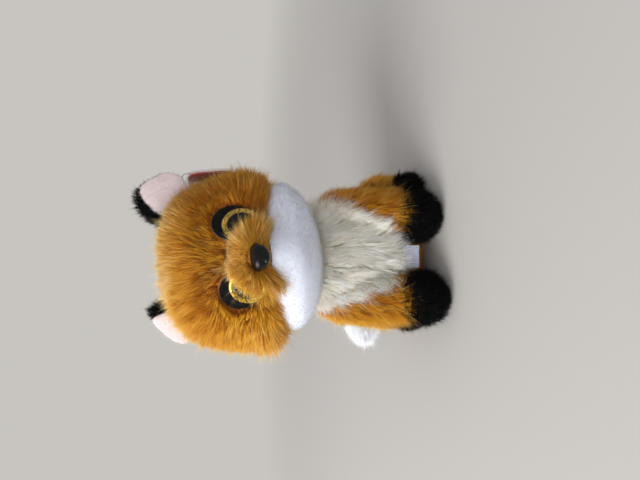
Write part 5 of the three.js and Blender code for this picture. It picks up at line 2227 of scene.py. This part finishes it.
@dataclass
class Ear:
    """An ear: a black pocket with a pink lining, folding at its root."""

    name: str
    side: int
    across: float
    rise: float
    lean: float
    turn: float
    shares: Sequence[float]
    width: float = 27.0
    depth: float = 8.0
    height: float = 26.5
    root: float = 5.0
    lining_width: float = 23.0
    lining_depth: float = 4.6
    lining_drop: float = 1.0
    lining_ahead: float = 3.7
    lining_out: float = 2.0
    lining_inset: float = 0.7
    backing_inset: float = 1.5
    cup: float = 0.006
    bare_edge: float = 0.7
    fill: float = 0.5

    def build(self, head: Head) -> None:
        """Builds the ear's covers and their pile.

        Args:
            head: what the ear is sewn to.
        """
        turned = turning("Z", self.side * self.turn) @ turning("Y", self.side * self.lean)
        place = head.place.holding(turned, (self.side * self.across, 1.0, self.rise))
        even = (1.0, 1.0)
        stand = upright(0, 0, -self.root, self.height)
        back = StuffedForm(stand, self.width, self.depth, self.shares, even, fullness=2.2, place=place)
        out, tall = self.side * self.lining_out, self.height - self.lining_drop
        stand = upright(out, -self.lining_ahead, -self.root, tall)
        wide, deep = self.lining_width, self.lining_depth
        front = StuffedForm(stand, wide, deep, self.shares, even, fullness=2.2, place=place)

        def cupped(points: Array) -> Array:
            """Returns the points bent ahead by cup x^2, at x across the ear."""
            local = place.back(points)
            local[..., 1] -= self.cup * local[..., 0] ** 2
            return place.points(local)

        name, body, inset = f"{self.name}_ear", f"{self.name}_ear_body", self.backing_inset
        scalp = stuffed(head.skull, PILE_DEPTH - 1.0, 64, 48)
        room = stuffed(front, self.lining_inset - GAP, 64, 48).moved(cupped)
        shell = stuffed(back, inset, 64, 48).moved(cupped).cut(scalp, room)
        add_cover(f"{name}_skin", shell, BLACK_BACKING, body, name)
        panel = stuffed(front, self.lining_inset, 64, 48).moved(cupped).cut(scalp)
        add_cover(f"{name}_lining_skin", panel, PINK_BACKING, body, f"{name}_lining")

        short = Pile(1.2, 5.0, 0.08, 78, 64, uneven=0.2, wander=30, curl=0, stray=0, knots=2, locks=())
        bed = scatter(front.grid(72, 56, self.lining_inset), short.per_square, 91 + self.side)
        bed = bed.clear_of(head.skull, PILE_DEPTH)
        bed = bed.where((bed.normals @ place.turn[:, 1] < 0.35) & (front.level(bed.points, 0.6) < 1.2))
        bed = Bed(cupped(bed.points), bed.normals)
        tones = 0.55 + 0.15 * ripples(bed.points, 8.0, 17)
        fibres = short.grow(bed, place.turn[:, 2], tones, 1.0, 93)
        add_coat(f"{name}_lining_pile", fibres, PINK_FIBRES, body)

        long = Pile(5.0, 6.0, 0.2, rise=54, lie=28, wander=14, locks=(Locks(1.4, 0.35), Locks(3.0, 0.2)))
        bed = scatter(back.grid(72, 56, inset), long.per_square, 95 + self.side)
        bed = bed.clear_of(head.skull, PILE_DEPTH - 1.0).clear_of(front, 0.2)
        local = place.back(bed.points)
        outer = smooth(self.side * local[:, 0], -1.0, 7.0) * smooth(-local[:, 1], -3.0, 0.0)
        flow = place.turn[:, 2] + 0.05 * local[:, :1] * place.turn[:, 0]
        bed = Bed(cupped(bed.points), bed.normals)
        tones = 0.5 + 0.25 * ripples(bed.points, 6.0, 18)
        fibres = long.grow(bed, flow, tones, 1 - self.bare_edge * outer, 97)
        add_coat(f"{name}_pile", fibres, BLACK_FIBRES, body)


@dataclass
class SwingTag:
    """The swing tag's finishes, and the smooth nylon loop that it hangs on."""

    wire: float = 0.5
    squareness: float = 3.0
    half_width: float = 9.0
    half_height: float = 3.5

    def build(self, head: Head) -> None:
        """Dresses the card, its sleeve and the eyes' washers, and builds the loop.

        Args:
            head: what carries the loop.
        """
        for node, finish in (
            ("tag_card", RED_CARD),
            ("tag_sleeve", CLEAR_SLEEVE),
            ("left_eye_washer", NYLON),
            ("right_eye_washer", NYLON),
        ):
            frame["nodes"][node].material_slots[0].material = material_of(finish)
        self.loop(head)

    def loop(self, head: Head) -> None:
        """Builds the loop: a round wire along |x|^q + |z|^q = 1, in the middle of the node's place.

        Args:
            head: what carries the loop.
        """
        low, high = (np.array(corner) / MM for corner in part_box("tag_loop"))
        level = (low[1] + high[1]) / 2
        corners = np.array([[x, level, z] for x in (low[0], high[0]) for z in (low[2], high[2])])
        middle = head.place.back(corners).mean(axis=0)
        x, z = squared(turns(96), self.squareness)
        line = np.stack([x * self.half_width, np.zeros(96), z * self.half_height], -1)
        slope = unit(np.roll(line, -1, axis=0) - np.roll(line, 1, axis=0))
        side = np.array([0.0, 1.0, 0.0])
        out, ring = np.cross(slope, side), turns(12)[:, None]
        tube = line[:, None] + self.wire * (out[:, None] * np.cos(ring) + side * np.sin(ring))
        solid = Solid.from_loop(head.place.points(tube + middle))
        add_solid("tag_loop_wire", solid, NYLON, "head", "tag_loop")


@dataclass
class SewnLabel:
    """The sewn-in label: a satin strip folded at its foot, with both ends in the seam."""

    width: float = 12.0
    drop: float = 9.5
    thick: float = 0.22
    open: float = 0.5
    wave: float = 0.12
    wave_length: float = 2.1

    def build(self) -> None:
        """Builds the folded strip: down in front, round a half circle, and up behind."""
        rows, columns = 64, 24
        length, bend = 2 * self.drop, self.open / 2
        quarter = bend * math.pi / 2
        along = np.linspace(0, length, rows)
        turn = np.clip((along - self.drop + quarter) / bend, 0, math.pi)
        after = np.maximum(along - self.drop - quarter, 0)
        y = -bend * np.cos(turn)
        z = after - np.minimum(along, self.drop - quarter) - bend * np.sin(turn)
        x = np.linspace(-self.width / 2, self.width / 2, columns)
        ahead = np.stack([np.zeros(rows), np.gradient(y), np.gradient(z)], -1)
        out = unit(np.cross(ahead, ACROSS))[:, None] * self.thick / 2
        line = np.stack([np.zeros(rows), y, z], -1) + joint_place("label_flap")
        wave = self.wave * np.sin(x / self.wave_length + 0.6)
        sheet = line[:, None] + x[:, None] * ACROSS - wave[:, None] * AHEAD
        strip = Solid.from_sheets(sheet - out, sheet + out)
        piece = add_solid("label_strip", strip, SHADED_SATIN, "label", "sewn_label")


@dataclass
class Studio:
    """The floor, the lamps and the camera. The photograph's focal length is in its pixels."""

    floor_half: float = 6.0
    fade: Pair = (0.2, 0.75)
    camera_place: tuple[float, float, float] = (0.0088, -0.26, 0.129)
    camera_pitch: float = 15.0
    sensor: float = 36.0
    focal_pixels: float = 481.0
    photo_width: float = 640.0
    aim: tuple[float, float, float] = (0.0, 0.0, 0.07)

    def build(self) -> None:
        """Builds the studio."""
        self.floor()
        self.lamps()
        self.camera()

    @staticmethod
    def seen(tree: bpy.types.NodeTree) -> Socket:
        """Adds nodes that tell how a ray has come.

        Args:
            tree: the material's or the world's nodes.

        Returns:
            A value that is 1 for rays from the camera, a gloss or a clear piece, and 0 for light.
        """
        path = new_node(tree, "LightPath")
        total = path.outputs["Is Camera Ray"]
        for ray in ("Is Glossy Ray", "Is Transmission Ray"):
            added = new_node(tree, "Math", total, path.outputs[ray], operation="ADD", use_clamp=True)
            total = added.outputs[0]
        return total

    def floor(self) -> None:
        """Lays a large pale floor, which is brighter where it is seen than where it gives light."""
        size = self.floor_half
        mesh = bpy.data.meshes.new("floor")
        corners = [(-size, -size, 0), (size, -size, 0), (size, size, 0), (-size, size, 0)]
        mesh.from_pydata(corners, [], [(0, 1, 2, 3)])
        floor = bpy.data.objects.new("floor", mesh)
        bpy.context.scene.collection.objects.link(floor)
        made = Shader("floor", Base_Color=srgb(172, 169, 165), Roughness=0.9)
        glow = made.add("Emission", Color=BACKDROP, Strength=1.0)
        away = made.add("VectorMath", made.add("TexCoord").outputs["Object"], operation="LENGTH")
        near, past = self.fade
        kind = "SMOOTHSTEP"
        fade = made.mapped(away.outputs["Value"], interpolation_type=kind, From_Min=near, From_Max=past)
        share = made.add("Math", fade, self.seen(made.tree), operation="MULTIPLY").outputs[0]
        mesh.materials.append(
            made.show(made.add("MixShader", share, made.surface.outputs[0], glow.outputs[0]))
        )

    def lamps(self) -> None:
        """Lights the scene evenly from all round, and more from above and ahead."""
        world = bpy.data.worlds.new("studio")
        bpy.context.scene.world = world
        world.use_nodes = True
        tree = world.node_tree
        light = tree.nodes["Background"]
        light.inputs["Color"].default_value = (0.98, 0.98, 1.0, 1.0)
        light.inputs["Strength"].default_value = 0.6
        shown = new_node(tree, "Background", Color=BACKDROP, Strength=1.0)
        mix = new_node(tree, "MixShader", self.seen(tree), light.outputs[0], shown.outputs[0])
        give(tree, tree.nodes["World Output"].inputs["Surface"], mix.outputs[0])
        for name, place, watts, size in (
            ("key", (-0.85, -0.5, 0.75), 17.0, 0.7),
            ("fill", (-0.25, -1.05, 0.22), 8.0, 0.9),
        ):
            lamp = bpy.data.lights.new(name, "AREA")
            lamp.energy, lamp.size = watts, size
            held = bpy.data.objects.new(name, lamp)
            bpy.context.scene.collection.objects.link(held)
            held.location = place
            held.visible_glossy = name == "key"
            held.rotation_euler = (Vector(self.aim) - Vector(place)).to_track_quat("-Z", "Y").to_euler()

    def camera(self) -> None:
        """Sets the camera as the photograph was taken: turned by a quarter, and looking a little down."""
        data = bpy.data.cameras.new("camera")
        data.sensor_width = self.sensor
        data.lens = self.sensor * self.focal_pixels / self.photo_width
        camera = bpy.data.objects.new("camera", data)
        bpy.context.scene.collection.objects.link(camera)
        pitch = math.radians(self.camera_pitch)
        ahead = Vector((0, math.cos(pitch), -math.sin(pitch)))
        up = Vector((1, 0, 0))
        right = ahead.cross(up)
        turn = Matrix((right, up, -ahead)).transposed()
        camera.matrix_world = Matrix.Translation(self.camera_place) @ turn.to_4x4()
        bpy.context.scene.camera = camera


def main() -> None:
    """Builds the fox and its studio."""
    logging.basicConfig(level=logging.INFO, format="%(name)s: %(message)s")
    bpy.context.scene.view_settings.view_transform = "Standard"
    Studio().build()
    head = Head()
    head.build()
    fronts = {name: FrontLeg(name, side, forward) for (name, side), forward in zip(SIDES, (21.5, 30.0))}
    torso = Torso()
    torso.build(head, tuple(fronts.values()))
    for leg in fronts.values():
        leg.build(torso, head)
    hinds = [HindLeg(name, side, splay) for (name, side), splay in zip(SIDES, (5.0, 0.0))]
    for leg in hinds:
        leg.build(torso, fronts[leg.name])
    Tail().build(torso, hinds)
    for name, side in SIDES:
        SafetyEye(name, side).build(head)
    SafetyNose().build(head)
    left_shares, right_shares = (0.95, 1.12, 1.12, 1.0, 0.8, 0.62), (1.1, 1.12, 0.95, 0.75, 0.56, 0.4)
    Ear("left", 1, 34.5, 57.5, 17.0, 10.0, left_shares, bare_edge=0.35).build(head)
    Ear("right", -1, 26.0, 57.0, -24.0, 34.0, right_shares).build(head)
    SwingTag().build(head)
    SewnLabel().build()


if __name__ == "__main__":
    main()
